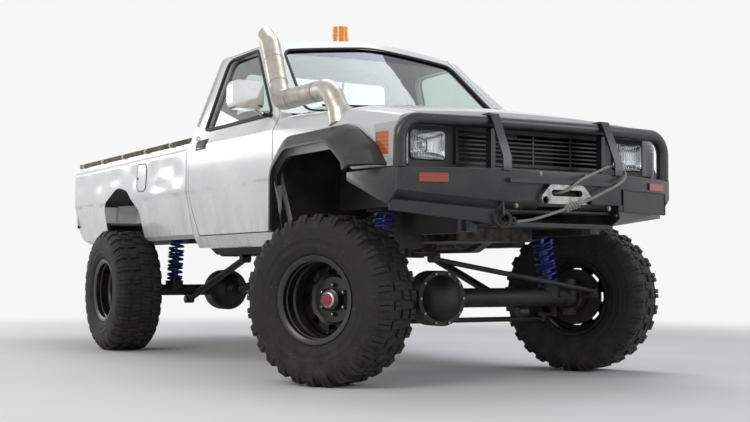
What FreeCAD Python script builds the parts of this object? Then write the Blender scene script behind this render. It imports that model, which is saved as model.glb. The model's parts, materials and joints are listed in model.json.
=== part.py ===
"""A lifted off-road 4x4 pickup with a single cab, a load tub and a winch bar, in millimetres.

+X points forward, +Y to the vehicle's left and +Z up. The origin is on the ground, midway
between the knot of the winch rope and the tailgate. The front wheels are turned to the left.
"""
import FreeCAD, Part
import math
import os
import re

import Sketcher
from FreeCAD import Placement, Rotation, Vector

doc = FreeCAD.newDocument("LiftedPickup")
sheet = doc.addObject("Spreadsheet::Sheet", "Sizes")

# The driving dimensions: a word for each, its value in millimetres or degrees, and what it is.
SIZES = {
    # wheels, axles and steering
    "wheelbase": (2900, "front axle to rear axle"),
    "front_reach": (868, "front axle to the knot of the winch rope, its foremost point"),
    "tail_reach": (1178, "rear axle to the tailgate's skin"),
    "track": (1700, "between the centres of the two tyres of an axle, pointing straight ahead"),
    "tyre_radius": (405, "over the lugs"),
    "tyre_width": (318, "over the sidewalls"),
    "tread_width": (276, "across the tread at the crown"),
    "shoulder_drop": (44, "lugs' tips down to where the tread meets the sidewall"),
    "lug_count": (28, "lugs round each row of a tyre"),
    "lug_depth": (13, "of the grooves between the lugs"),
    "lug_long": (52, "of a lug, round the tyre"),
    "bead_radius": (190.5, "the rim's seat for the tyre, a 15 inch rim"),
    "rim_width": (254, "between the rim's flanges"),
    "flange_radius": (209, "over the rim's flanges"),
    "flange_thick": (9, "of a rolled rim flange"),
    "rim_wall": (7, "of the rolled barrel"),
    "disc_thick": (9, "of the wheel disc"),
    "dish": (44, "from the tyre's centre plane in to the disc's back face"),
    "hub_bore": (54.3, "radius of the disc's centre hole"),
    "stud_circle": (69.85, "radius of the circle of six studs"),
    "window_circle": (142, "radius of the circle of eight windows in the disc"),
    "window_size": (44, "across a window of the disc"),
    "fit_gap": (0.3, "between pieces that seat on each other"),
    "scrub": (175, "kingpin to the tyre's centre plane"),
    "steer_angle": (28, "left turn of the front wheels as parked"),
    "steering_arm": (150, "length of the steering arms and the pitman arm"),
    "tie_rod_height": (285, "of the tie rod's line above the ground"),
    "drag_link_low": (437, "height of the drag link's end at the left wheel"),
    "drag_link_high": (600, "height of the drag link's end at the pitman arm"),
    "pitman_side": (340, "pitman shaft right of the middle"),
    "ball_radius": (64, "of the axle's steering balls"),
    "front_tube_radius": (50, "of the front axle tube"),
    "rear_tube_radius": (38, "of the rear axle tube"),
    "pumpkin_radius": (140, "of the differential housings"),
    "front_pumpkin_side": (180, "front differential right of the middle"),
    "rear_pumpkin_side": (90, "rear differential right of the middle"),
    "brake_radius": (150, "of the brake discs and drums"),
    "disc_flat": (108, "radius of the wheel disc's flat middle"),
    "disc_step": (12, "height of the ring pressed in the wheel disc"),
    "brake_set": (38, "hub's mounting face to the inner side of the brake"),
    "spindle_radius": (28, "of the stub axles"),
    "cap_reach": (16, "centre cap beyond the tyre's centre plane"),
    "nut_radius": (12, "across the corners of a wheel nut, halved"),
    "nut_height": (20, "of a wheel nut"),
    "cup_wall": (16, "of the knuckles round the axle's balls"),
    "cup_edge": (3, "kingpin out to the open edge of a knuckle's cup"),
    "rod_eye": (22, "radius of the eyes of the steering rods"),
    "steering_rod": (13.5, "radius of the tie rod and the drag link"),
    "coil_radius": (55, "of the coil springs, over the wire"),
    "coil_wire": (14, "diameter of the springs' wire"),
    "coil_turns": (7, "turns of a coil spring"),
    "perch_height": (66, "spring perches above the axle's middle"),
    "front_coil_low": (545, "foot of the front springs from the middle"),
    "front_coil_high": (475, "head of the front springs from the middle"),
    "front_coil_top": (836, "head of the front springs above the ground"),
    "rear_coil_low": (476, "foot of the rear springs from the middle"),
    "rear_coil_high": (458, "head of the rear springs from the middle"),
    "rear_coil_top": (800, "head of the rear springs above the ground"),
    # ladder frame
    "rail_centre": (365, "middle of a frame rail from the middle of the vehicle"),
    "rail_width": (60, "across a frame rail"),
    "rail_depth": (130, "height of a frame rail"),
    "rail_low": (645, "underside of the rails below the cab"),
    "rail_rise_front": (75, "how much the rails climb over the front axle"),
    "rail_rise_rear": (85, "how much the rails climb over the rear axle"),
    "mount_puck_radius": (38, "of the rubber body mounts"),
    "collar_reach": (8, "hub's collar inside the brake"),
    "rail_end_set": (130, "rear ends of the rails ahead of the tailgate's skin"),
    "cross_radius": (34, "of the tubular crossmembers"),
    "gearbox_end": (1060, "rear end of the gearbox behind the front axle"),
    "tub_sill_low": (800, "underside of the tub's front cross sill"),
    "tower_half": (75, "half length of the spring towers"),
    "link_eye": (27, "radius of the eyes of the suspension links"),
    "engine_half": (230, "half width of the engine"),
    "engine_low": (690, "underside of the engine"),
    "engine_high": (1130, "top of the engine"),
    "exhaust_side": (215, "exhaust pipe left of the middle"),
    # body section, half widths and heights above the ground
    "half_width": (843, "of the body at the doors"),
    "sill_half": (753, "half width at the sill's lower edge"),
    "sill_low": (677, "underside of the sills"),
    "tuck_half": (793, "half width at the door's lower edge"),
    "tuck_height": (752, "height of the door's lower edge"),
    "crease_height": (1025, "the crease along the body side"),
    "shoulder_height": (1272, "where the side turns in to the belt"),
    "belt_half": (806, "half width at the base of the windows"),
    "belt_height": (1345, "base of the windows"),
    "eave_half": (660, "half width at the roof's gutter"),
    "eave_height": (1826, "the roof's gutter"),
    "roof_height": (1898, "the roof's middle"),
    "wall": (45, "thickness of doors, pillars and cab walls"),
    "roof_round": (45, "rounding of the roof's edge"),
    "floor_low": (795, "underside of the cab floor"),
    "floor_top": (820, "upper side of the cab floor"),
    # stations along the cab, behind the front axle
    "door_front": (545, "front edge of the doors"),
    "door_back": (1719, "rear edge of the doors"),
    "cab_back": (1754, "rear wall of the cab at the belt"),
    "cab_back_top": (1640, "rear wall of the cab at the gutter"),
    "screen_corner": (520, "base of the windscreen at the pillars"),
    "screen_top": (1020, "top of the windscreen at the pillars"),
    "panel_gap": (6, "between body panels"),
    "pillar_gap": (12, "behind the door's window frame"),
    "window_base_front": (650, "lower front corner of the door window"),
    "window_base_back": (1556, "lower rear corner of the door window"),
    "window_top_front": (1108, "upper front corner of the door window"),
    "window_top_back": (1500, "upper rear corner of the door window"),
    "window_low": (1378, "lower edge of the door window"),
    "window_high": (1788, "upper edge of the door window"),
    "glass_thick": (5, "of every pane"),
    "roof_lift": (15, "roof's crown below the point where its two slopes would meet"),
    "roof_crown": (2500, "rounding of the roof across its middle"),
    "ledge": (15, "of the cab's frame behind the edge of a door"),
    "door_lap": (18, "a door's overlap on the ledge"),
    "firewall": (462, "cab's front wall behind the front axle"),
    "cowl_front": (300, "cowl's front edge behind the front axle"),
    "cowl_height": (1368, "top of the cowl"),
    "wing_top": (1366, "top of the wings at the doors"),
    "screen_rise": (415, "height over which the windscreen leans back to its top"),
    "screen_bow": (104, "bow of the windscreen across its width"),
    "screen_round": (2150, "radius of the windscreen's bow"),
    "screen_rim": (26, "cab's frame below the windscreen"),
    "screen_low_half": (648, "half width of the windscreen at its base"),
    "screen_high_half": (560, "half width of the windscreen at its top"),
    "screen_high": (1790, "top of the windscreen at its corners"),
    "pillar_depth": (62, "windscreen frame front to back"),
    "glass_set": (16, "windscreen's glass behind the cab's surface"),
    "door_corner": (1366, "where a door's frame starts to lean back"),
    "door_high": (1818, "top of the doors"),
    "frame_top_front": (1066, "upper front corner of a door's frame"),
    "frame_top_back": (1580, "upper rear corner of a door's frame"),
    "back_low": (1424, "lower edge of the rear window"),
    "back_high": (1760, "upper edge of the rear window"),
    "back_low_half": (560, "half width of the rear window at its base"),
    "back_high_half": (500, "half width of the rear window at its top"),
    "sill_width": (110, "across a sill"),
    # nose
    "bonnet_front": (546, "bonnet's front edge ahead of the front axle"),
    "bonnet_back": (425, "bonnet's rear corners behind the front axle"),
    "bonnet_bow": (90, "how far the middle of the bonnet's rear edge is ahead of its corners"),
    "bonnet_crown": (26, "how much the bonnet's sides are below its middle"),
    "bonnet_round": (8000, "radius of the bonnet across its middle"),
    "wing_thick": (24, "of the wings and the bonnet with their flanges"),
    "nose_face": (570, "face of the front panel ahead of the front axle"),
    "nose_low": (1012, "lower edge of the front panel and the wings ahead of the wheels"),
    "panel_thick": (26, "of the front panel"),
    "nose_back": (600, "rear end of the wings' shape behind the front axle"),
    "nose_mid": (250, "where the nose starts to narrow, ahead of the front axle"),
    "half_mid": (838, "half width where the nose starts to narrow"),
    "half_lamp": (800, "half width at the rear of the corner lamps"),
    "half_front": (772, "half width at the front panel"),
    "bonnet_half_back": (692, "half width of the bonnet at its rear edge"),
    "bonnet_half_mid": (680, "half width of the bonnet where the nose starts to narrow"),
    "bonnet_half_lamp": (660, "half width of the bonnet at the corner lamps"),
    "bonnet_half_front": (642, "half width of the bonnet at its front edge"),
    "seam_back": (1373, "bonnet's side seam above the ground at the windscreen"),
    "seam_mid": (1327, "bonnet's side seam where the nose starts to narrow"),
    "seam_lamp": (1293, "bonnet's side seam at the corner lamps"),
    "seam_front": (1264, "bonnet's side seam at the front"),
    "ridge_mid": (1300, "upper outer edge of a wing where the nose starts to narrow"),
    "ridge_lamp": (1268, "upper outer edge of a wing at the corner lamps"),
    "ridge_front": (1244, "upper outer edge of a wing at the front"),
    "ridge_set": (37, "upper outer edge of a wing in from its side"),
    "lamp_side": (592, "headlamp's middle from the middle of the vehicle"),
    "lamp_height": (1114, "headlamp's middle above the ground"),
    "lamp_wide": (200, "width of a headlamp"),
    "lamp_tall": (142, "height of a headlamp"),
    "lamp_round": (26, "corner rounding of a headlamp"),
    "grille_half": (448, "half width of the grille"),
    "grille_low": (1034, "grille's lower edge"),
    "grille_high": (1238, "grille's upper edge"),
    "grille_top_bar": (52, "height of the grille's plain top bar"),
    "grille_rim": (14, "of the grille's sides and lower edge"),
    "grille_bar": (7, "height of a horizontal bar of the grille"),
    "corner_low": (1024, "corner lamp's lower edge"),
    "corner_high": (1208, "corner lamp's upper edge"),
    "corner_back": (440, "corner lamp's rear end ahead of the front axle"),
    "corner_inner": (696, "corner lamp's inner edge from the middle"),
    # wheel arches and flares
    "arch_back": (512, "front arch's rear edge behind the front axle"),
    "arch_front": (290, "front arch's front edge ahead of the front axle"),
    "arch_top": (1122, "top of the front arch"),
    "flare_half": (930, "half width over the wheel flares"),
    "flare_back": (534, "flare's rear edge on the wing behind the front axle"),
    "flare_high": (1225, "flare's upper edge on the wing"),
    "flare_front": (528, "flare's front end on the wing ahead of the front axle"),
    "lip_back": (400, "flare's lip behind the front axle"),
    "lip_high": (1159, "top of the flare's lip"),
    "lip_front": (440, "front end of the flare's lip ahead of the front axle"),
    "flare_low": (740, "lower end of a flare"),
    "flare_wall": (9, "of a flare"),
    "rear_arch_front": (293, "rear arch's front foot ahead of the rear axle"),
    "rear_arch_back": (495, "rear arch's rear edge behind the rear axle"),
    "rear_arch_top": (1120, "top of the rear arch"),
    # load tub
    "tub_gap": (14, "between the cab and the tub"),
    "tub_low": (735, "underside of the tub's sides"),
    "rail_half": (803, "half width at the tub's rail"),
    "rail_height": (1352, "top of the tub's rail"),
    "tub_inner": (740, "half width inside the tub"),
    "tub_under": (881, "underside of the tub's floor"),
    "tub_floor": (905, "upper side of the tub's floor"),
    "tub_skin": (25, "thickness of the tub's side below its floor"),
    "headboard": (38, "thickness of the tub's front wall"),
    "gate_thick": (40, "of the tailgate"),
    "gate_half": (690, "half width of the tailgate"),
    "gate_low": (881, "lower edge of the tailgate"),
    "gate_high": (1344, "upper edge of the tailgate"),
    "gate_pin": (8, "radius of the tailgate's hinge pins"),
    "gate_axis": (12, "tailgate's hinge in from its lower inner edges"),
    "housing_half": (570, "inner side of the wheel housings in the tub"),
    "housing_wall": (15, "of the wheel housings in the tub"),
    # winch bar, ahead of the front axle
    "bar_centre": (805, "face of the bar's middle section"),
    "bar_end": (648, "face of the bar at its ends"),
    "bar_back": (545, "rear edge of the bar's top plate"),
    "bar_half": (800, "half width of the bar at its ends"),
    "knee_half": (342, "half width of the bar's middle section"),
    "bar_top": (1002, "top of the bar"),
    "bar_face_low": (902, "lower edge of the bar's face at its ends"),
    "knee_face_low": (855, "lower edge of the bar's face at the middle section"),
    "bar_plate": (10, "thickness of the bar's folded plate"),
    "lip_set": (66, "how far the bar's lower lip is set back from its face"),
    "lip_end_high": (862, "top of the lower lip at the bar's ends"),
    "lip_end_low": (812, "lower edge of the lower lip at the bar's ends"),
    "lip_knee_high": (822, "top of the lower lip at the middle section"),
    "lip_knee_low": (758, "lower edge of the lower lip at the middle section"),
    "rail_front": (520, "front ends of the frame rails"),
    "wing_tip": (300, "tip of the bar's side wings"),
    "wing_tip_half": (862, "half width at the tips of the side wings"),
    "hoop_end": (628, "top tube's legs"),
    "hoop_centre": (682, "top tube between the uprights"),
    "hoop_knee": (345, "where the top tube bends back, from the middle"),
    "hoop_radius": (30, "of the bar's top tube"),
    "hoop_half": (775, "top tube's legs from the middle"),
    "hoop_height": (1222, "centre line of the top tube"),
    "hoop_bend": (95, "bend radius of the top tube at its legs"),
    "upright_side": (325, "uprights from the middle"),
    "upright_width": (46, "of an upright's flat bar"),
    "upright_kink": (1051, "where an upright bends to slope back to the tube"),
    "step_half": (325, "half width of the step above the rope guide"),
    "step_reach": (30, "of the step out of the bar's face"),
    "step_height": (958, "top of the step above the ground"),
    "guide_half": (150, "half length of the rope guide"),
    "guide_thick": (26, "of the rope guide"),
    "guide_height": (900, "rope guide's slot above the ground"),
    "slot_half": (90, "half length of the rope guide's slot"),
    "slot_round": (15, "half height of the rope guide's slot"),
    "drum_radius": (44, "of the winch drum with its rope"),
    "winch_station": (716, "middle of the winch drum"),
    "rope_radius": (5, "of the winch rope"),
    "lug_station": (785, "hole for the rope's hook in the bar's right cheek"),
    "lug_height": (807, "hole for the rope's hook above the ground"),
    # what stands on the body
    "pipe_radius": (51, "of the intake pipe"),
    "mirror_side": (957, "middle of the mirror from the middle of the vehicle"),
    "beacon_station": (1359, "beacon behind the front axle"),
    "beacon_radius": (56, "of the beacon's foot"),
    "wheel_side": (370, "steering wheel right of the middle"),
}

for row, (alias, (value, meaning)) in enumerate(SIZES.items(), start=1):
    sheet.set(f"A{row}", meaning)
    sheet.set(f"B{row}", str(value))
    sheet.setAlias(f"B{row}", alias)
doc.recompute()

# Stations worked out from the driving dimensions.
FRONT_AXLE = "((wheelbase + tail_reach - front_reach) / 2)"
REAR_AXLE = f"({FRONT_AXLE} - wheelbase)"
TAIL = f"({REAR_AXLE} - tail_reach)"
WHEEL_HEIGHT = "tyre_radius"
KINGPIN = "(track / 2 - scrub)"

sub_parts = []


def formula(text):
    """The text with each driving dimension named as the sheet's cell."""
    return re.sub(r"[a-z][a-z_]*", lambda word: named(word.group(0)), str(text))


def named(word):
    return "Sizes." + word if word in SIZES else word


def number(text):
    """The value of a formula, in millimetres or degrees."""
    value = sheet.evalExpression(formula(text))
    return float(getattr(value, "Value", value))


def ahead(distance):
    """A station ahead of the front axle."""
    return f"({FRONT_AXLE} + ({distance}))"


def behind(distance):
    """A station behind the front axle."""
    return f"({FRONT_AXLE} - ({distance}))"


def sub_part(label, thing):
    """Names a finished piece."""
    thing.Label = label
    sub_parts.append(thing)
    return thing


# Sketches


def pin_point(sketch, item, end, across, up):
    """Ties a point of a sketch to two formulas."""
    for kind, text, axis in (("DistanceX", across, -2), ("DistanceY", up, -1)):
        if abs(number(text)) < 1e-9:
            sketch.addConstraint(Sketcher.Constraint("PointOnObject", item, end, axis))
        else:
            distance = Sketcher.Constraint(kind, -1, 1, item, end, number(text))
            index = sketch.addConstraint(distance)
            sketch.setExpression(f"Constraints[{index}]", formula(text))


def draw(sketch, corners):
    """A closed outline of (across, up) or (across, up, rounding) corners, fully constrained."""
    points = [Vector(number(corner[0]), number(corner[1]), 0) for corner in corners]
    rounds = [number(corner[2]) if len(corner) > 2 else 0 for corner in corners]
    count = len(points)
    ends = []
    for i, (point, radius) in enumerate(zip(points, rounds)):
        if radius:
            back = (points[i - 1] - point).normalize()
            on = (points[(i + 1) % count] - point).normalize()
            reach = radius / math.tan(back.getAngle(on) / 2)
            ends.append((point + back * reach, point + on * reach))
        else:
            ends.append((point, point))
    lines = []
    for i in range(count):
        line = Part.LineSegment(ends[i][1], ends[(i + 1) % count][0])
        lines.append(sketch.addGeometry(line))
    for i, (point, radius) in enumerate(zip(points, rounds)):
        before, after = lines[i - 1], lines[i]
        if not radius:
            sketch.addConstraint(Sketcher.Constraint("Coincident", before, 2, after, 1))
            pin_point(sketch, after, 1, corners[i][0], corners[i][1])
            continue
        start, stop = ends[i]
        inward = ((start + stop) * 0.5 - point).normalize()
        half = (start - point).getAngle(stop - point) / 2
        middle = point + inward * (radius / math.sin(half) - radius)
        arc = sketch.addGeometry(Part.Arc(start, middle, stop))
        first = 1 if (sketch.getPoint(arc, 1) - start).Length < 1e-6 else 2
        sketch.addConstraint(Sketcher.Constraint("Tangent", before, 2, arc, first))
        sketch.addConstraint(Sketcher.Constraint("Tangent", arc, 3 - first, after, 1))
        index = sketch.addConstraint(Sketcher.Constraint("Radius", arc, radius))
        sketch.setExpression(f"Constraints[{index}]", formula(corners[i][2]))
        corner = sketch.addGeometry(Part.Point(point), True)
        sketch.addConstraint(Sketcher.Constraint("PointOnObject", corner, 1, before))
        sketch.addConstraint(Sketcher.Constraint("PointOnObject", corner, 1, after))
        pin_point(sketch, corner, 1, corners[i][0], corners[i][1])


FACING = {
    "side": (Rotation(Vector(1, 0, 0), 90), "y"),
    "front": (Rotation(Vector(1, 1, 1), 120), "x"),
    "plan": (Rotation(), "z"),
}


def outline(name, view, corners, station="0"):
    """A sketch seen in side (X, Z), front (Y, Z) or plan (X, Y) view, at a station."""
    sketch = doc.addObject("Sketcher::SketchObject", name)
    turn, axis = FACING[view]
    sketch.Placement = Placement(Vector(), turn)
    draw(sketch, corners)
    sketch.setExpression(f"Placement.Base.{axis}", formula(station))
    return sketch


def slab(name, view, corners, low, high):
    """A straight solid with the outline, from one station to another across the view."""
    start = high if view == "side" else low
    sketch = outline(name + "_outline", view, corners, start)
    solid = doc.addObject("Part::Extrusion", name)
    solid.Base = sketch
    solid.DirMode = "Normal"
    solid.Solid = True
    solid.setExpression("LengthFwd", formula(f"({high}) - ({low})"))
    doc.recompute([sketch, solid])
    return solid


# Simple solids and joins


def box(name, low_x, high_x, low_y, high_y, low_z, high_z):
    block = doc.addObject("Part::Box", name)
    spans = (("Length", "x", low_x, high_x), ("Width", "y", low_y, high_y),
             ("Height", "z", low_z, high_z))
    for side, axis, low, high in spans:
        block.setExpression(side, formula(f"({high}) - ({low})"))
        block.setExpression(f"Placement.Base.{axis}", formula(low))
    doc.recompute([block])
    return block


ALONG = {
    "x": Rotation(Vector(0, 1, 0), 90),
    "y": Rotation(Vector(1, 0, 0), -90),
    "z": Rotation(),
}


def round_bar(name, axis, radius, low, high, first, second):
    """A cylinder along an axis, from low to high, with its centre at the two other places."""
    bar = doc.addObject("Part::Cylinder", name)
    bar.Placement = Placement(Vector(), ALONG[axis])
    others = [letter for letter in "xyz" if letter != axis]
    bar.setExpression("Radius", formula(radius))
    bar.setExpression("Height", formula(f"({high}) - ({low})"))
    bar.setExpression(f"Placement.Base.{axis}", formula(low))
    bar.setExpression(f"Placement.Base.{others[0]}", formula(first))
    bar.setExpression(f"Placement.Base.{others[1]}", formula(second))
    doc.recompute([bar])
    return bar


def ball(name, radius, x, y, z):
    sphere = doc.addObject("Part::Sphere", name)
    sphere.setExpression("Radius", formula(radius))
    for axis, text in zip("xyz", (x, y, z)):
        sphere.setExpression(f"Placement.Base.{axis}", formula(text))
    doc.recompute([sphere])
    return sphere


def spot(x, y, z):
    """A point from three formulas."""
    return Vector(number(x), number(y), number(z))


def rod_shape(start, stop, radius):
    return Part.makeCylinder(radius, (stop - start).Length, start, stop - start)


def made(name, shape):
    """A document object for a shape made from the sheet's values."""
    feature = doc.addObject("Part::Feature", name)
    feature.Shape = shape
    return feature


def joined(name, things):
    fusion = doc.addObject("Part::MultiFuse", name)
    fusion.Shapes = things
    fusion.Refine = True
    doc.recompute([fusion])
    return fusion


def shared(name, things):
    overlap = doc.addObject("Part::MultiCommon", name)
    overlap.Shapes = things
    doc.recompute([overlap])
    return overlap


def carved(name, base, tools):
    """The base with every tool cut out of it."""
    tool = tools[0] if len(tools) == 1 else joined(name + "_tools", tools)
    cut = doc.addObject("Part::Cut", name)
    cut.Base = base
    cut.Tool = tool
    cut.Refine = True
    doc.recompute([cut])
    return cut


def grouped(name, things):
    """Pieces that share a node as they are."""
    group = doc.addObject("Part::Compound", name)
    group.Links = things
    doc.recompute([group])
    return group


def mirrored(name, thing):
    """The same piece on the other side of the vehicle."""
    twin = doc.addObject("Part::Mirroring", name)
    twin.Source = thing
    twin.Normal = Vector(0, 1, 0)
    doc.recompute([twin])
    return twin


def both_sides(name, thing):
    return grouped(name, [thing, mirrored(name + "_left", thing)])


def pipe_path(points, radii):
    """Straight runs joined by tangent arcs, one radius for each inner point."""
    edges = []
    last = points[0]
    for i in range(1, len(points) - 1):
        corner = points[i]
        back = (points[i - 1] - corner).normalize()
        on = (points[i + 1] - corner).normalize()
        half = back.getAngle(on) / 2
        reach = radii[i - 1] / math.tan(half)
        start = corner + back * reach
        stop = corner + on * reach
        inward = (back + on).normalize()
        middle = corner + inward * (radii[i - 1] / math.sin(half) - radii[i - 1])
        if (start - last).Length > 1e-6:
            edges.append(Part.LineSegment(last, start).toShape())
        edges.append(Part.Arc(start, middle, stop).toShape())
        last = stop
    edges.append(Part.LineSegment(last, points[-1]).toShape())
    return Part.Wire(edges)


def pipe_shape(points, radii, radius):
    """A round bar swept along straight runs and arcs."""
    path = pipe_path(points, radii)
    section = Part.Wire(Part.makeCircle(radius, points[0], points[1] - points[0]))
    bar = path.makePipeShell([section], True, True)
    if bar.Volume < 0:
        bar.reverse()
    return bar


def turned(name, corners, view_axis="V_Axis"):
    """A body of revolution about its own Y axis from an outline of (radius, along) corners."""
    body = doc.addObject("PartDesign::Body", name)
    sketch = body.newObject("Sketcher::SketchObject", name + "_section")
    plane = next(p for p in body.Origin.OriginFeatures if p.Role == "XY_Plane")
    sketch.AttachmentSupport = [(plane, "")]
    sketch.MapMode = "FlatFace"
    draw(sketch, corners)
    turn = body.newObject("PartDesign::Revolution", name + "_turn")
    turn.Profile = sketch
    turn.ReferenceAxis = (sketch, [view_axis])
    turn.Angle = 360
    body.Tip = turn
    doc.recompute()
    return body


# Wheels, each built about its own Y axis with the outer side towards +Y.

WHEELS = {
    "front_right": (-1, True),
    "front_left": (1, True),
    "rear_right": (-1, False),
    "rear_left": (1, False),
}


def wheel_place(side, steered):
    """The placement of a wheel's centre, turned so that +Y is its outer side."""
    outward = Placement(Vector(), Rotation(Vector(0, 0, 1), 0 if side > 0 else 180))
    if not steered:
        centre = spot(REAR_AXLE, f"{side} * track / 2", WHEEL_HEIGHT)
        return Placement(centre, Rotation()).multiply(outward)
    return knuckle_place(side).multiply(Placement(spot("0", f"{side} * scrub", "0"), Rotation())
                                        ).multiply(outward)


def knuckle_place(side):
    """The placement of a kingpin's middle, turned by the steering angle."""
    kingpin = spot(FRONT_AXLE, f"{side} * {KINGPIN}", WHEEL_HEIGHT)
    return Placement(kingpin, Rotation(Vector(0, 0, 1), number("steer_angle")))


def lugs():
    """The four rows of lugs of a mud tyre, those on one side half a step from the other's.

    A shoulder lug wraps on to the sidewall and a slanted block fills the middle of the tread.
    Each row's tips lie on the tyre's radius, and a tip points straight down.
    """
    radius, half_long = number("tyre_radius"), number("lug_long / 2")
    top = math.sqrt(radius ** 2 - half_long ** 2)
    groove = radius - number("lug_depth")
    crown, side = number("tread_width / 2"), number("tyre_width / 2")
    tip_turn = math.degrees(math.asin(half_long / radius))
    step = 360 / number("lug_count")
    shapes = []
    for hand in (-1, 1):
        shoulder = Part.makePolygon([Vector(across, hand * along, -half_long)
                                     for across, along in (
            (groove - 5, crown - 60), (top, crown - 60), (top, crown - 18),
            (radius - 34, side - 10), (radius - 70, side - 3.5), (radius - 74, side - 14),
            (radius - 46, side - 24), (groove - 5, crown - 30), (groove - 5, crown - 60))])
        block = Part.makePolygon([Vector(groove - 5, hand * along, around)
                                  for along, around in (
            (8, -half_long), (crown - 76, 8 - half_long), (crown - 76, half_long),
            (8, half_long - 8), (8, -half_long))])
        pair = [Part.Face(shoulder).extrude(Vector(0, 0, 2 * half_long)),
                Part.Face(block).extrude(Vector(top - groove + 5, 0, 0))]
        for i in range(round(number("lug_count"))):
            angle = (i + hand / 4 + 0.25) * step + tip_turn
            for lug in pair:
                shape = lug.copy()
                shape.rotate(Vector(), Vector(0, 1, 0), angle + 90)
                shapes.append(shape)
    return shapes


def tyre(name):
    """A mud tyre with its lugs, seated between the rim's flanges."""
    seat = "(bead_radius + fit_gap)"
    edge = "(rim_width / 2 - fit_gap)"
    crown = "(tyre_radius - lug_depth)"
    shoulder = "(tyre_radius - shoulder_drop)"
    carcass = turned(name + "_carcass", [
        (seat, f"-{edge}"),
        (seat, edge),
        ("flange_radius", edge),
        ("flange_radius + 26", "tyre_width / 2 - 14"),
        ("(flange_radius + tyre_radius) / 2", "tyre_width / 2"),
        (shoulder, "tyre_width / 2 - 10"),
        (crown, "tread_width / 2 - 18"),
        (crown, "-(tread_width / 2 - 18)"),
        (shoulder, "-(tyre_width / 2 - 10)"),
        ("(flange_radius + tyre_radius) / 2", "-(tyre_width / 2)"),
        ("flange_radius + 26", "-(tyre_width / 2 - 14)"),
        ("flange_radius", f"-{edge}"),
    ])
    return joined(name, [carcass, made(name + "_lugs", Part.makeCompound(lugs()))])


def rim(name):
    """A rolled steel rim with a deep dish and eight windows in its disc."""
    barrel = "(bead_radius - rim_wall)"
    face = "(disc_thick - dish)"
    lip = "(rim_width / 2 + flange_thick)"
    body = turned(name, [
        ("hub_bore", "-dish"),
        ("hub_bore", face),
        ("disc_flat", face),
        ("disc_flat + 16", f"{face} + disc_step"),
        (barrel, f"{face} + 2"),
        (barrel, "rim_width / 2"),
        ("flange_radius - 7", lip),
        ("flange_radius", lip),
        ("flange_radius", "rim_width / 2"),
        ("bead_radius", "rim_width / 2"),
        ("bead_radius", "-(rim_width / 2)"),
        ("flange_radius", "-(rim_width / 2)"),
        ("flange_radius", f"-{lip}"),
        ("flange_radius - 7", f"-{lip}"),
        (barrel, "-(rim_width / 2)"),
        (barrel, "-dish - 8"),
        ("disc_flat + 14", "disc_step - dish - 1"),
        ("disc_flat - 4", "-dish"),
    ])
    sketch = body.newObject("Sketcher::SketchObject", name + "_window")
    plane = next(p for p in body.Origin.OriginFeatures if p.Role == "XZ_Plane")
    sketch.AttachmentSupport = [(plane, "")]
    sketch.MapMode = "FlatFace"
    draw(sketch, [
        ("-(window_size / 2)", "window_circle - window_size / 2", "9"),
        ("window_size / 2", "window_circle - window_size / 2", "9"),
        ("window_size / 2 + 5", "window_circle + window_size / 2 - 8", "9"),
        ("-(window_size / 2 + 5)", "window_circle + window_size / 2 - 8", "9"),
    ])
    pocket = body.newObject("PartDesign::Pocket", name + "_pocket")
    pocket.Profile = sketch
    pocket.Midplane = True
    pocket.setExpression("Length", formula("2 * dish + 2 * disc_thick + disc_step"))
    doc.recompute()
    windows = body.newObject("PartDesign::PolarPattern", name + "_windows")
    windows.Originals = [pocket]
    axis = next(p for p in body.Origin.OriginFeatures if p.Role == "Y_Axis")
    windows.Axis = (axis, [""])
    windows.Angle = 360
    windows.Occurrences = 8
    body.Tip = windows
    doc.recompute()
    return body


def hub(name, steered):
    """The hub with its brake disc or drum, its centre cap and six nuts on the wheel disc."""
    inner = "(dish + brake_set)"
    outer = "(brake_set - 16 + dish)" if steered else "(dish + 12)"
    cap = "cap_reach" if steered else "(cap_reach - dish / 2)"
    body = turned(name + "_body", [
        ("spindle_radius + fit_gap", f"-{inner} - collar_reach"),
        ("spindle_radius + 24", f"-{inner} - collar_reach"),
        ("spindle_radius + 24", f"-{inner}"),
        ("brake_radius", f"-{inner}"),
        ("brake_radius", f"-{outer}"),
        ("stud_circle + 16", f"-{outer}"),
        ("stud_circle + 16", "-dish - fit_gap"),
        ("hub_bore - fit_gap", "-dish - fit_gap"),
        ("hub_bore - fit_gap", f"{cap} - 6", "3"),
        ("hub_bore - 14", cap),
        ("0", cap),
        ("0", f"{cap} - 20"),
        ("spindle_radius + fit_gap", f"{cap} - 20"),
    ])
    pieces = [body]
    for i in range(6):
        angle = math.radians(60 * i + 30)
        nut = doc.addObject("Part::Prism", f"{name}_nut_{i}")
        nut.Polygon = 6
        nut.setExpression("Circumradius", formula("nut_radius"))
        nut.setExpression("Height", formula("nut_height"))
        reach = number("stud_circle")
        place = Vector(reach * math.cos(angle), number("disc_thick - dish + fit_gap"),
                       reach * math.sin(angle))
        nut.Placement = Placement(place, ALONG["y"])
        pieces.append(nut)
    return grouped(name, pieces)


for corner, (side, steered) in WHEELS.items():
    place = wheel_place(side, steered)
    rim_and_hub = grouped("rim_and_hub_" + corner, [rim("rim_" + corner),
                                                    hub("hub_" + corner, steered)])
    for label, thing in (("tyre_", tyre("tyre_" + corner)), ("rim_and_hub_", rim_and_hub)):
        thing.Placement = place
        sub_part(label + corner, thing)


# Axles, knuckles and steering


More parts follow.
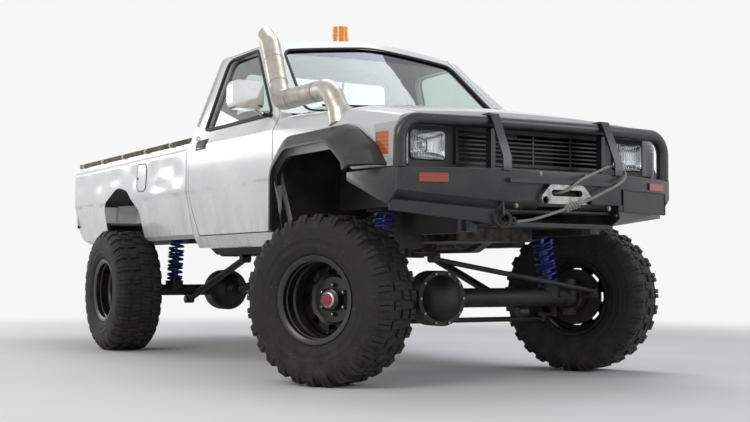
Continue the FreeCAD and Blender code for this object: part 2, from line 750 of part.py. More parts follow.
def knuckle(name, side):
    """A steering knuckle: a cup round the axle's ball, a spindle, a brake caliper and its arms.

    It is built about the kingpin's middle, unturned, for the left or the right side.
    """
    low, high = sorted((number("cup_edge") * side, number("ball_radius + cup_wall - 2") * side))
    out = f"{side} * "
    cup = round_bar(name + "_cup", "y", "ball_radius + cup_wall", low, high, "0", "0")
    bearing = round_bar(name + "_bearing", "z", "38", "-(ball_radius + cup_wall + 16)",
                        "ball_radius + cup_wall + 16", "0", f"{out} 18")
    spindle_low, spindle_high = sorted((number(f"{out} 40"),
                                        number(f"{out} (scrub + cap_reach - dish / 2 - 24)")))
    spindle = round_bar(name + "_spindle", "y", "spindle_radius", spindle_low, spindle_high,
                        "0", "0")
    hub_face = "(scrub - dish - brake_set)"
    caliper_y = sorted((number(f"{out} ({hub_face} - 22)"), number(f"{out} ({hub_face} + 26)")))
    caliper = box(name + "_caliper", "-165", "-100", caliper_y[0], caliper_y[1], "-48", "48")
    bracket_y = sorted((number(f"{out} 44"), number(f"{out} ({hub_face} - 6)")))
    bracket = box(name + "_bracket", "-125", "-60", bracket_y[0], bracket_y[1], "-30", "30")
    arm = box(name + "_tie_arm", "-(steering_arm + 20)", "-62", "-15", "15",
              "tie_rod_height - tyre_radius + 14 + fit_gap", "tie_rod_height - tyre_radius + 34")
    post = box(name + "_tie_post", "-96", "-62", "-10" if side > 0 else "-26",
               "26" if side > 0 else "10", "tie_rod_height - tyre_radius + 14 + fit_gap", "-40")
    pieces = [cup, bearing, spindle, caliper, bracket, arm, post]
    if side > 0:
        heights = ("drag_link_low - tyre_radius - 34",
                   "drag_link_low - tyre_radius - 14 - fit_gap")
        pieces.append(box(name + "_drag_arm", "84", "steering_arm + 20", "-16", "16", *heights))
        pieces.append(box(name + "_drag_root", "60", "84", "cup_edge", "16", *heights))
    whole = joined(name + "_solid", pieces)
    socket = ball(name + "_socket", "ball_radius + 0.5", "0", "0", "0")
    socket.Placement = Placement(Vector(), Rotation(Vector(0, 0, 1), 90 - 90 * side))
    disc_y = sorted((number(f"{out} ({hub_face} - 5)"), number(f"{out} ({hub_face} + 21)")))
    disc_room = round_bar(name + "_disc_room", "y", "brake_radius + 5", disc_y[0], disc_y[1],
                          "0", "0")
    spindle_room = round_bar(name + "_spindle_room", "y", "spindle_radius", disc_y[0] - 1,
                             disc_y[1] + 1, "0", "0")
    return carved(name, whole, [socket, carved(name + "_brake_room", disc_room,
                                               [spindle_room])])


for corner, side in (("right", -1), ("left", 1)):
    thing = knuckle("knuckle_" + corner, side)
    thing.Placement = knuckle_place(side)
    sub_part("knuckle_" + corner, thing)


def steering_rod(name, start, stop, radius):
    """A rod with an upright eye at each end."""
    eye_radius, eye_half = number("rod_eye"), 14
    rod = rod_shape(start, stop, radius)
    for end in (start, stop):
        eye = Part.makeCylinder(eye_radius, 2 * eye_half, end - Vector(0, 0, eye_half))
        rod = rod.fuse(eye)
    return made(name, rod.removeSplitter())


turn = math.radians(number("steer_angle"))
arm_reach = number("steering_arm")
arm_x, arm_y = arm_reach * math.cos(turn), arm_reach * math.sin(turn)
kingpin_y = number(KINGPIN)
axle_x = number(FRONT_AXLE)
tie_height = number("tie_rod_height")
sub_part("tie_rod", steering_rod(
    "tie_rod",
    Vector(axle_x - arm_x, -kingpin_y - arm_y, tie_height),
    Vector(axle_x - arm_x, kingpin_y - arm_y, tie_height),
    number("steering_rod"),
))
pitman_y = -number("pitman_side")
sub_part("drag_link", steering_rod(
    "drag_link",
    Vector(axle_x + arm_x, pitman_y + arm_y, number("drag_link_high")),
    Vector(axle_x + arm_x, kingpin_y + arm_y, number("drag_link_low")),
    number("steering_rod"),
))
pitman = joined("pitman_arm", [
    box("pitman_bar", "-24", "steering_arm + 22", "-17", "17", "14 + fit_gap", "34"),
    round_bar("pitman_boss", "z", "30", "14 + fit_gap", "52", "0", "0"),
])
pitman.Placement = Placement(Vector(axle_x, pitman_y, number("drag_link_high")),
                             Rotation(Vector(0, 0, 1), number("steer_angle")))
sub_part("pitman_arm", pitman)


def differential(name, side_text, axle, nose_sign, tube, tube_half):
    """An axle housing: its tube, the round differential and the nose for the propeller shaft."""
    height = WHEEL_HEIGHT
    tube_bar = round_bar(name + "_tube", "y", tube, f"-({tube_half})", tube_half, axle, height)
    centre = f"(-{side_text})"
    bulb = round_bar(name + "_bulb", "x", "pumpkin_radius", f"{axle} - 62", f"{axle} + 62",
                     centre, height)
    bulge = ball(name + "_bulge", "pumpkin_radius - 8", axle, centre, height)
    low, high = ((f"{axle} - 245", axle) if nose_sign < 0 else (axle, f"{axle} + 245"))
    nose = round_bar(name + "_nose", "x", "54", low, high, centre, height)
    return [tube_bar, bulb, bulge, nose]


front_pieces = differential("front_axle", "front_pumpkin_side", FRONT_AXLE, -1,
                            "front_tube_radius", KINGPIN)
for side in (-1, 1):
    front_pieces.append(ball(f"front_ball_{side + 1}", "ball_radius", FRONT_AXLE,
                             f"{side} * {KINGPIN}", WHEEL_HEIGHT))
    front_pieces.append(round_bar(f"front_perch_{side + 1}", "z", "coil_radius + 6",
                                  WHEEL_HEIGHT, f"{WHEEL_HEIGHT} + perch_height",
                                  FRONT_AXLE, f"{side} * front_coil_low"))
sub_part("front_axle", joined("front_axle", front_pieces))
rear_half = "(track / 2 - dish - brake_set - collar_reach - fit_gap)"
rear_pieces = differential("rear_axle", "rear_pumpkin_side", REAR_AXLE, 1,
                           "rear_tube_radius", rear_half)
for side in (-1, 1):
    ends = sorted((number(f"{side} * {rear_half}"),
                   number(f"{side} * (track / 2 + cap_reach - dish / 2 - 24)")))
    rear_pieces.append(round_bar(f"rear_spindle_{side + 1}", "y", "spindle_radius", ends[0],
                                 ends[1], REAR_AXLE, WHEEL_HEIGHT))
    rear_pieces.append(round_bar(f"rear_perch_{side + 1}", "z", "coil_radius + 6",
                                 WHEEL_HEIGHT, f"{WHEEL_HEIGHT} + perch_height",
                                 REAR_AXLE, f"{side} * rear_coil_low"))
sub_part("rear_axle", joined("rear_axle", rear_pieces))


# The ladder frame

RAIL_FRONT = ahead("rail_front")
RAIL_BACK = f"({TAIL} + rail_end_set)"
RAIL_INNER = "(rail_centre - rail_width / 2)"
RAIL_OUTER = "(rail_centre + rail_width / 2)"
FRONT_LOW = "(rail_low + rail_rise_front)"
REAR_LOW = "(rail_low + rail_rise_rear)"


def rail_edge(lift):
    """The rail's lower line, or its upper one when lifted by the rail's depth, front to rear."""
    return [
        (RAIL_FRONT, f"{FRONT_LOW} + {lift}"),
        (behind("250"), f"{FRONT_LOW} + {lift}", "90"),
        (behind("440"), f"rail_low + {lift}", "90"),
        (f"{REAR_AXLE} + 560", f"rail_low + {lift}", "90"),
        (f"{REAR_AXLE} + 360", f"{REAR_LOW} + {lift}", "90"),
        (RAIL_BACK, f"{REAR_LOW} + {lift}"),
    ]


rail = slab("rail", "side", rail_edge("0") + rail_edge("rail_depth")[::-1], RAIL_INNER,
            RAIL_OUTER)
frame_pieces = [rail, mirrored("rail_left", rail)]
CROSSMEMBERS = {
    "front": (ahead("360"), f"{FRONT_LOW} + rail_depth / 2"),
    "middle": (behind("1560"), "rail_low + rail_depth / 2"),
    "tank": (behind("2520"), f"{REAR_LOW} + 20"),
    "rear": (f"{REAR_AXLE} - 520", f"{REAR_LOW} + rail_depth / 2"),
    "last": (f"{RAIL_BACK} + 60", f"{REAR_LOW} + rail_depth / 2"),
}
for label, (station, height) in CROSSMEMBERS.items():
    frame_pieces.append(round_bar(f"cross_{label}", "y", "cross_radius", f"-{RAIL_INNER} - 5",
                                  f"{RAIL_INNER} + 5", station, height))
frame_pieces.append(box("cross_gearbox", behind("gearbox_end"), behind("gearbox_end - 50"),
                        f"-{RAIL_OUTER}", RAIL_OUTER, "rail_low - 24", "rail_low"))
RAIL_TOPS = {
    "nose": (ahead("420"), f"{FRONT_LOW} + rail_depth", f"{FRONT_LOW} + rail_depth + 20"),
    "cab_front": (behind("790"), "rail_low + rail_depth", "floor_low - fit_gap"),
    "cab_back": (behind("1600"), "rail_low + rail_depth", "floor_low - fit_gap"),
    "tub_front": (behind("1860"), "rail_low + rail_depth", "tub_sill_low"),
    "tub_axle": (f"{REAR_AXLE} + 330", f"{REAR_LOW} + rail_depth", "tub_under - fit_gap"),
    "tub_back": (f"{REAR_AXLE} - 700", f"{REAR_LOW} + rail_depth", "tub_under - fit_gap"),
}
towers = [
    box("front_tower", f"{FRONT_AXLE} - tower_half", f"{FRONT_AXLE} + tower_half",
        f"-(front_coil_high + coil_radius + 12)", f"-{RAIL_INNER}", "front_coil_top + fit_gap",
        "front_coil_top + fit_gap + 14"),
    box("rear_tower", f"{REAR_AXLE} - tower_half", f"{REAR_AXLE} + tower_half",
        f"-(rear_coil_high + coil_radius + 12)", f"-{RAIL_INNER}", "rear_coil_top + fit_gap",
        "rear_coil_top + fit_gap + 14"),
]
for label, (station, low, high) in RAIL_TOPS.items():
    towers.append(round_bar(f"puck_{label}", "z", "mount_puck_radius / 2 + 9", f"{low} - 4",
                            high, station, "-rail_centre"))
for tower in towers:
    frame_pieces.append(tower)
    frame_pieces.append(mirrored(tower.Name + "_left", tower))
frame_pieces.append(box("steering_box", f"{FRONT_AXLE} - 60", f"{FRONT_AXLE} + 60",
                        f"-(pitman_side + 50)", "-(pitman_side - 50)",
                        "drag_link_high + 52 + fit_gap", f"{FRONT_LOW} + 5"))
sub_part("chassis_frame", joined("chassis_frame", frame_pieces))

# Springs, dampers and links


def strut_ends(axle, side, front):
    """The foot and the head of a spring."""
    word = "front" if front else "rear"
    foot = spot(axle, f"{side} * {word}_coil_low", f"{WHEEL_HEIGHT} + perch_height + fit_gap")
    head = spot(axle, f"{side} * {word}_coil_high", f"{word}_coil_top")
    return foot, head


def coil_spring(foot, head):
    """A round wire wound on a leaning line."""
    wire = number("coil_wire") / 2
    radius = number("coil_radius") - wire
    lean = head - foot
    turns = number("coil_turns")
    tall = lean.Length - 2 * wire
    helix = Part.makeHelix(tall / turns, tall, radius)
    section = Part.Wire(Part.makePolygon([
        Vector(radius + wire * math.cos(math.radians(a)), 0, wire * math.sin(math.radians(a)))
        for a in range(0, 361, 90)]))
    spring = Part.Wire(helix).makePipeShell([section], True, True)
    spring.Placement = Placement(foot + lean.normalize() * wire,
                                 Rotation(Vector(0, 0, 1), head - foot))
    return spring


def damper(foot, head):
    """A fat lower tube and a thin bright shaft inside a spring."""
    along = head - foot
    body = rod_shape(foot + along * 0.04, foot + along * 0.52, 25)
    shaft = rod_shape(foot + along * 0.5, foot + along * 0.96, 9)
    ends = [Part.makeCylinder(30, 14, foot), Part.makeCylinder(30, 14, head - Vector(0, 0, 14))]
    return body.fuse([shaft] + ends).removeSplitter()


springs = []
dampers = []
for axle, front in ((FRONT_AXLE, True), (REAR_AXLE, False)):
    for side in (-1, 1):
        foot, head = strut_ends(axle, side, front)
        springs.append(coil_spring(foot, head))
        dampers.append(damper(foot, head))
sub_part("springs_and_dampers", made("springs_and_dampers",
                                     Part.makeCompound(springs + dampers)))


def link_shape(start, stop, radius):
    """A suspension link with a bushed eye, lying across the vehicle, at each end."""
    eye_half = 30
    shape = rod_shape(start, stop, radius)
    for end in (start, stop):
        eye = Part.makeCylinder(number("link_eye"), 2 * eye_half, end - Vector(0, eye_half, 0),
                                Vector(0, 1, 0))
        shape = shape.fuse(eye)
    return shape.removeSplitter()


links = []
eye_drop = "(link_eye + fit_gap)"
for side in (-1, 1):
    links.append(link_shape(
        spot(FRONT_AXLE, f"{side} * rail_centre",
             f"{WHEEL_HEIGHT} - front_tube_radius - {eye_drop}"),
        spot(behind("860"), f"{side} * rail_centre", f"rail_low - {eye_drop}"), 22))
    links.append(link_shape(
        spot(REAR_AXLE, f"{side} * rail_centre", f"{WHEEL_HEIGHT} - rear_tube_radius - {eye_drop}"),
        spot(f"{REAR_AXLE} + 960", f"{side} * rail_centre", f"rail_low - {eye_drop}"), 22))
sub_part("suspension_links", made("suspension_links", Part.makeCompound(links)))

# Engine, gearbox, propeller shafts, exhaust and tank

GEARBOX_LOW = "(rail_low + fit_gap)"
engine = box("engine", behind("436"), ahead("264"), "-engine_half", "engine_half",
             "engine_low", "engine_high")
gearbox = box("gearbox", behind("gearbox_end"), behind("436"), "-110", "110", GEARBOX_LOW,
              f"{GEARBOX_LOW} + 140")
transfer = box("transfer_case", behind("1000"), behind("850"), "-(front_pumpkin_side + 60)",
               "-40", f"{GEARBOX_LOW} - 40", f"{GEARBOX_LOW} + 110")
mount = box("engine_mounts", behind("60"), ahead("40"), f"-({RAIL_INNER} - fit_gap)",
            f"{RAIL_INNER} - fit_gap", f"{FRONT_LOW} + 30", f"{FRONT_LOW} + 70")
bell = box("bell_housing", behind("560"), behind("430"), "-170", "170", "engine_low",
           f"{GEARBOX_LOW} + 140")
sub_part("engine_and_gearbox", joined("engine_and_gearbox",
                                      [engine, gearbox, transfer, mount, bell]))


def propeller_shaft(start, stop):
    """A tube with a round flange, square to X, at each end."""
    thick = 16
    step = Vector(thick if stop.x > start.x else -thick, 0, 0)
    tube = rod_shape(start + step, stop - step, 28)
    near = Part.makeCylinder(46, thick, start, step)
    far = Part.makeCylinder(46, thick, stop, step * -1)
    return tube.fuse([near, far]).removeSplitter()


shaft_height = f"{GEARBOX_LOW} + 60"
sub_part("propeller_shafts", made("propeller_shafts", Part.makeCompound([
    propeller_shaft(spot(f"{FRONT_AXLE} - 245 - fit_gap", "-front_pumpkin_side", WHEEL_HEIGHT),
                    spot(behind("850 - fit_gap"), "-front_pumpkin_side", shaft_height)),
    propeller_shaft(spot(f"{REAR_AXLE} + 245 + fit_gap", "-rear_pumpkin_side", WHEEL_HEIGHT),
                    spot(behind("gearbox_end + fit_gap"), "-rear_pumpkin_side",
                         shaft_height)),
])))

exhaust_points = [
    spot(behind("200"), "engine_half + fit_gap", "engine_low + 70"),
    spot(behind("200"), "engine_half + 50", "engine_low + 70"),
    spot(behind("420"), "engine_half + 50", "engine_low"),
    spot(behind("1150"), "engine_half + 40", "engine_low"),
    spot(behind("1400"), "exhaust_side", "rail_low - 5"),
    spot(behind("2300"), "exhaust_side", "rail_low - 5"),
]
exhaust = pipe_shape(exhaust_points, [30, 90, 120, 120], 26)
muffler = rod_shape(spot(behind("1640"), "exhaust_side", "rail_low - 5"),
                    spot(behind("2120"), "exhaust_side", "rail_low - 5"), 82)
sub_part("exhaust", made("exhaust", exhaust.fuse(muffler).removeSplitter()))
tank = box("tank_block", behind("2440"), behind("1900"), f"-({RAIL_INNER} - fit_gap)",
           "-(rear_pumpkin_side + 60)", "rail_low - 10", "rail_low + 150")
tank_rounded = doc.addObject("Part::Fillet", "fuel_tank")
tank_rounded.Base = tank
tank_rounded.Edges = [(i + 1, 28, 28) for i, edge in enumerate(tank.Shape.Edges)
                      if abs(edge.tangentAt(edge.FirstParameter).x) > 0.9]
doc.recompute([tank_rounded])
sub_part("fuel_tank", tank_rounded)


# The body's section across the vehicle

def body_section(inset, low="sill_low", low_half="sill_half"):
    """The cab's front-view outline, with its walls moved in by the inset."""
    half = [
        (f"({low_half} - {inset})", low),
        (f"(tuck_half - {inset})", "tuck_height"),
        (f"(half_width - {inset})", "crease_height"),
        (f"(half_width - {inset})", "shoulder_height", "60"),
        (f"(belt_half - {inset})", "belt_height"),
        (f"(eave_half - {inset})", f"eave_height - {inset} / 2", "roof_round"),
    ]
    top = [("0", f"roof_height + roof_lift - {inset}", "roof_crown")]
    right = [("-" + corner[0],) + corner[1:] for corner in half]
    return half + top + right[::-1]


def inner_section(inset):
    """The cabin's front-view outline above the floor."""
    corners = body_section(inset)
    floor_half = f"(tuck_half - {inset})"
    return [(floor_half, "floor_top")] + corners[2:-2] + [("-" + floor_half, "floor_top")]


CAB_BACK = behind("cab_back")
SCREEN_SLOPE = ("-(screen_top - screen_corner)", "0", "screen_rise")


def cab_side(inset):
    """The cab's side-view outline, with its rear wall and roof moved in by the inset."""
    return [
        (behind("firewall"), "sill_low"),
        (f"{CAB_BACK} + {inset}", "sill_low"),
        (f"{CAB_BACK} + {inset}", "belt_height - 10"),
        (f"{behind('cab_back_top')} + {inset}", "roof_height - 40", "90"),
        (behind("cab_back_top - 200"), f"roof_height + 10 - {inset}"),
        (behind("cowl_front"), f"roof_height + 10 - {inset}"),
        (behind("cowl_front"), "cowl_height - 60"),
        (behind("firewall"), "cowl_height - 60"),
    ]


def leaning(name, corners, low, set_back):
    """A plan outline carried up and back along the windscreen's slope."""
    sketch = outline(name + "_outline", "plan", corners, low)
    sketch.setExpression("Placement.Base.x", formula(f"-({set_back})"))
    solid = doc.addObject("Part::Extrusion", name)
    solid.Base = sketch
    solid.DirMode = "Custom"
    run, _, rise = (number(text) for text in SCREEN_SLOPE)
    solid.Dir = Vector(run, 0, rise)
    solid.LengthFwd = math.hypot(run, rise) * 1.6
    solid.Solid = True
    doc.recompute([sketch, solid])
    return solid


SCREEN_CURVE = [
    (behind("screen_corner"), "-bonnet_half_back"),
    (behind("screen_corner - 2 * screen_bow"), "0", "screen_round"),
    (behind("screen_corner"), "bonnet_half_back"),
]


def screen_space(name, set_back):
    """The space in front of the windscreen's surface, set back by a distance."""
    corners = [(behind("screen_corner"), "-1000")] + SCREEN_CURVE + [
        (behind("screen_corner"), "1000"), (ahead("900"), "1000"), (ahead("900"), "-1000")]
    return leaning(name, corners, "cowl_height", set_back)


# The nose's shape, from the windscreen to the front panel


def nose_section(name, station, half, ridge, seam_half, seam, inset):
    """A front-view outline through the wings and the bonnet, moved in by the inset."""
    right = [
        (f"(sill_half + {half} - half_width - {inset})", f"sill_low - {inset} / 8"),
        (f"({half} - {inset})", "crease_height"),
        (f"({half} - {inset})", f"{ridge} - belt_height + shoulder_height - {inset} / 2", "50"),
        (f"({half} - ridge_set - {inset})", f"{ridge} - {inset}", "40"),
        (f"({seam_half} - {inset} / 4)", f"{seam} - {inset}", "600"),
    ]
    top = [("0", f"{seam} + 1.5 * bonnet_crown - {inset}", "bonnet_round")]
    left = [("-" + corner[0],) + corner[1:] for corner in right]
    return outline(name, "front", right + top + left[::-1], station)


def nose_loft(name, inset):
    """The whole nose as one solid, moved in by the inset."""
    stations = [
        (behind("nose_back"), "half_width", "belt_height", "bonnet_half_back", "seam_back"),
        (ahead("nose_mid"), "half_mid", "ridge_mid", "bonnet_half_mid", "seam_mid"),
        (ahead("corner_back"), "half_lamp", "ridge_lamp", "bonnet_half_lamp", "seam_lamp"),
        (ahead("nose_face"), "half_front", "ridge_front", "bonnet_half_front", "seam_front"),
    ]
    loft = doc.addObject("Part::Loft", name)
    loft.Sections = [nose_section(f"{name}_{i}", *station, inset)
                     for i, station in enumerate(stations)]
    loft.Solid = True
    loft.Ruled = True
    doc.recompute([loft])
    return loft


def plan_right(gap):
    """A wing seen from above, grown by a gap."""
    return [
        (f"{behind('door_front - 8')} - {gap}", "-960"),
        (f"{behind('door_front - 8')} - {gap}", "-(belt_half + 4)"),
        (f"{behind('screen_corner - 8')} - {gap}", "-(belt_half - 6)"),
        (f"{behind('screen_corner - 8')} - {gap}", f"-(bonnet_half_back + panel_gap / 2 - {gap})"),
        (ahead("nose_mid"), f"-(bonnet_half_mid + panel_gap / 2 - {gap})"),
        (ahead("corner_back"), f"-(bonnet_half_lamp + panel_gap / 2 - {gap})"),
        (ahead("nose_face + 20"), f"-(bonnet_half_front + panel_gap / 2 - {gap})"),
        (ahead("nose_face + 20"), "-960"),
    ]


def plan_bonnet(gap):
    """The bonnet seen from above, grown by a gap."""
    side = f"- panel_gap / 2 + {gap}"
    right = [
        (f"{behind('bonnet_back')} - {gap}", f"-(bonnet_half_back {side})", "20"),
        (ahead("nose_mid"), f"-(bonnet_half_mid {side})"),
        (ahead("corner_back"), f"-(bonnet_half_lamp {side})"),
        (f"{ahead('bonnet_front')} + {gap}", f"-(bonnet_half_front {side})", "12"),
    ]
    left = [(corner[0], corner[1][1:]) + corner[2:] for corner in right]
    rear = [(f"{behind('bonnet_back - 2 * bonnet_bow')} - {gap}", "0", "screen_round")]
    return right + left[::-1] + rear


nose_outer = nose_loft("nose_outer", "0")
nose_seat = nose_loft("nose_seat", "(wing_thick + fit_gap)")
wing_plan = slab("wing_plan", "plan", plan_right("0"), "600", "1500")
wing_plan_room = slab("wing_plan_room", "plan", plan_right("panel_gap"), "600", "1500")
bonnet_plan_room = slab("bonnet_plan_room", "plan", plan_bonnet("panel_gap"), "1100", "1500")
panel_room = carved("panel_room", joined("panel_plans", [
    wing_plan_room, mirrored("wing_plan_room_left", wing_plan_room), bonnet_plan_room]),
    [nose_seat])

# The cab

outer_section = slab("outer_section", "front", body_section("0"), CAB_BACK, behind("cowl_front"))
outer_side = slab("outer_side", "side", cab_side("0"), "-1000", "1000")
outer_block = carved("outer_block", shared("outer_overlap", [outer_section, outer_side]),
                     [screen_space("screen_front", "0")])
cabin_section = slab("cabin_section", "front", inner_section("(wall + ledge)"), CAB_BACK,
                     behind("firewall + 40"))
cabin_side = slab("cabin_side", "side", cab_side("wall"), "-1000", "1000")
cabin = carved("cabin", shared("cabin_overlap", [cabin_section, cabin_side]),
               [screen_space("screen_back", "pillar_depth")])


def door_outline(out, hole=False):
    """The door's side-view outline, grown by a distance, with more room behind its frame."""
    back = f"{out} + pillar_gap - panel_gap" if hole else out
    return [
        (f"{behind('door_front')} + {out}", f"tuck_height - {out}"),
        (f"{behind('door_front')} + {out}", "door_corner"),
        (f"{behind('frame_top_front')} + {out}", f"door_high + {out}", "40"),
        (f"{behind('frame_top_back')} - {back}", f"door_high + {out}", "60"),
        (f"{behind('door_back')} - {back}", "belt_height"),
        (f"{behind('door_back')} - {out}", "crease_height - 90", "60"),
        (f"{behind('door_back - 60')} - {out}", f"tuck_height - {out}", "30"),
    ]


WINDOW = [
    (behind("window_base_front"), "window_low", "14"),
    (behind("window_top_front"), "window_high", "40"),
    (behind("window_top_back"), "window_high", "70"),
    (behind("window_base_back"), "window_low", "14"),
]
DOOR_LOW, DOOR_HIGH = "-900", "-560"
door_room = slab("door_room", "side", door_outline("panel_gap", True), DOOR_LOW, DOOR_HIGH)
behind_door = slab("behind_door", "front", body_section("(wall + fit_gap)"), CAB_BACK,
                   behind("cowl_front"))
door_pocket = carved("door_pocket", door_room, [behind_door])
door_hole = slab("door_hole", "side", door_outline("-door_lap"), DOOR_LOW, DOOR_HIGH)
channel = box("floor_channel", behind("cab_back + 50"), behind("firewall - 50"),
              "-(sill_half - sill_width)", "sill_half - sill_width", "600", "floor_low")
screen_hole = slab("screen_hole", "front", [
    ("-screen_low_half", "cowl_height + screen_rim", "40"),
    ("screen_low_half", "cowl_height + screen_rim", "40"),
    ("screen_high_half", "screen_high", "70"),
    ("0", "screen_high + 60", "1800"),
    ("-screen_high_half", "screen_high", "70"),
], behind("screen_top + 60"), behind("cowl_front - 20"))
back_hole = slab("back_hole", "front", [
    ("-back_low_half", "back_low", "60"), ("back_low_half", "back_low", "60"),
    ("back_high_half", "back_high", "60"), ("-back_high_half", "back_high", "60"),
], f"{CAB_BACK} - 10", behind("cab_back_top - 80"))
cab = carved("cab_shell", outer_block, [
    cabin, door_pocket, mirrored("door_pocket_left", door_pocket), door_hole,
    mirrored("door_hole_left", door_hole), panel_room, channel, screen_hole, back_hole])
sub_part("cab_shell", cab)

glass_sheet = carved("glass_sheet", screen_space("glass_back", "glass_set + glass_thick * 1.4"),
                     [screen_space("glass_front", "glass_set")])
sub_part("windscreen", shared("windscreen", [glass_sheet, screen_hole]))
back_pane = slab("back_pane", "side", [
    (f"{CAB_BACK} + 16", "belt_height - 10"),
    (f"{behind('cab_back_top')} + 16", "roof_height - 40"),
    (f"{behind('cab_back_top')} + 16 + glass_thick", "roof_height - 40"),
    (f"{CAB_BACK} + 16 + glass_thick", "belt_height - 10"),
], "-1000", "1000")
sub_part("rear_window", shared("rear_window", [back_pane, back_hole]))

# Doors

door_prism = slab("door_prism", "side", door_outline("0"), DOOR_LOW, DOOR_HIGH)
door_back_cut = slab("door_back_cut", "front", body_section("wall"), CAB_BACK,
                     behind("cowl_front"))
door_blank = carved("door_blank", shared("door_overlap", [outer_section, door_prism]),
                    [door_back_cut])
window_prism = slab("window_prism", "side", WINDOW, DOOR_LOW, DOOR_HIGH)
door = carved("door_right", door_blank, [window_prism])
pane_outer = slab("pane_outer", "front", body_section("18"), CAB_BACK, behind("cowl_front"))
pane_inner = slab("pane_inner", "front", body_section("(18 + glass_thick)"), CAB_BACK,
                  behind("cowl_front"))
pane = shared("door_glass_right", [carved("pane_sheet", pane_outer, [pane_inner]),
                                   window_prism])
sub_part("door_right", door)
sub_part("door_left", mirrored("door_left", door))
sub_part("door_glass_right", pane)
sub_part("door_glass_left", mirrored("door_glass_left", pane))

# Wings, bonnet and flares

nose_inner = nose_loft("nose_inner", "wing_thick")
nose_skin = carved("nose_skin", nose_outer, [nose_inner])
arch_prism = slab("arch_prism", "side", [
    (f"{behind('arch_back')}", "500"),
    (f"{behind('arch_back')}", "arch_top - 112", "140"),
    (f"{behind('arch_back - 132')}", "arch_top", "170"),
    (f"{ahead('arch_front - 140')}", "arch_top", "200"),
    (ahead("arch_front"), "nose_low"),
    (ahead("nose_face + 60"), "nose_low"),
    (ahead("nose_face + 60"), "500"),
], "-1100", "1100")


def corner_lamp_space(name, grow, depth):
    """The room of a corner lamp in the right wing, tapering to the rear."""
    return slab(name, "side", [
        (ahead(f"corner_back + 34 - {grow}"), f"corner_low - {grow}"),
        (ahead(f"corner_back - {grow}"), f"corner_high + {grow}"),
        (ahead("nose_face + 40"), f"corner_high + 8 + {grow}"),
        (ahead("nose_face + 40"), f"corner_low - {grow}"),
    ], "-900", f"-(corner_inner + {depth})")


bonnet_plan = slab("bonnet_plan", "plan", plan_bonnet("0"), "1100", "1500")
sub_part("bonnet", shared("bonnet", [nose_skin, bonnet_plan]))
wing_blank = shared("wing_blank", [nose_skin, wing_plan])
wing = carved("wing_right", wing_blank, [arch_prism, corner_lamp_space("corner_room", "fit_gap",
                                                                       "-1")])
sub_part("wing_right", wing)
sub_part("wing_left", mirrored("wing_left", wing))

corner_lamp = shared("corner_lamp", [
    nose_outer, corner_lamp_space("corner_lamp_room", "0", "0")])
sub_part("corner_lamps", both_sides("corner_lamps", corner_lamp))


def flare_outline(name, station, out, inset):
    """A flare's side-view outline on the wing (out 0) or at its lip (out 1)."""
    back, high, front = (("lip_back", "lip_high", "lip_front") if out else
                         ("flare_back", "flare_high", "flare_front"))
    rounding = "60" if out else "90"
    return outline(name, "side", [
        (f"{behind(back)} + {inset}", f"flare_low - 2 * {inset}"),
        (f"{behind(back)} + {inset}", f"{high} - 97 - {inset}", f"{rounding} + 50"),
        (f"{behind(back + ' - 150')} + {inset}", f"{high} - {inset}", f"{rounding} + 90"),
        (f"{ahead(front + ' - 225')} - {inset}", f"{high} - {inset}", f"{rounding} + 110"),
        (f"{ahead(front + ' - 60')} - {inset}", f"{high} - 110 - {inset}", rounding),
        (f"{ahead(front)} - {inset}", f"nose_low + 8 - 2 * {inset}"),
    ], station)


def flare_shape(name, inset):
    """The right flare's outer form: level to the wing's side, then falling in to its lip."""
    straight = doc.addObject("Part::Extrusion", name + "_straight")
    straight.Base = flare_outline(name + "_on_wing", f"-half_width", False, inset)
    straight.DirMode = "Normal"
    straight.Reversed = True
    straight.Solid = True
    straight.LengthFwd = number("half_width - 700")
    loft = doc.addObject("Part::Loft", name + "_loft")
    loft.Sections = [straight.Base, flare_outline(
        name + "_at_lip", f"-(flare_half - {inset} * 4 / 3)", True, inset)]
    loft.Solid = True
    loft.Ruled = True
    doc.recompute([straight, loft])
    return joined(name, [straight, loft])


lip_hole = slab("lip_hole", "side", [
    (f"{behind('lip_back')} + 1.7 * flare_wall", "flare_low - 60"),
    (f"{behind('lip_back')} + 1.7 * flare_wall", "lip_high - 97 - 1.7 * flare_wall", "95"),
    (f"{behind('lip_back - 150')} + 1.7 * flare_wall", "lip_high - 1.7 * flare_wall", "135"),
    (f"{ahead('lip_front - 225')} - 1.7 * flare_wall", "lip_high - 1.7 * flare_wall", "155"),
    (f"{ahead('lip_front - 60')} - 1.7 * flare_wall", "lip_high - 110 - 1.7 * flare_wall", "48"),
    (f"{ahead('lip_front')} - 1.7 * flare_wall", "flare_low - 60"),
], "-1000", "-690")
nose_clear = nose_loft("nose_clear", "-fit_gap")
cab_clear = slab("cab_clear", "front", body_section("-fit_gap"), behind("nose_back"),
                 behind("firewall - 10"))
flare = carved("flare", flare_shape("flare_outer", "0"), [
    flare_shape("flare_inner", "flare_wall"), lip_hole, nose_clear, cab_clear])
sub_part("wheel_flares", both_sides("wheel_flares", flare))

# Front panel with its aprons, grille and headlamps

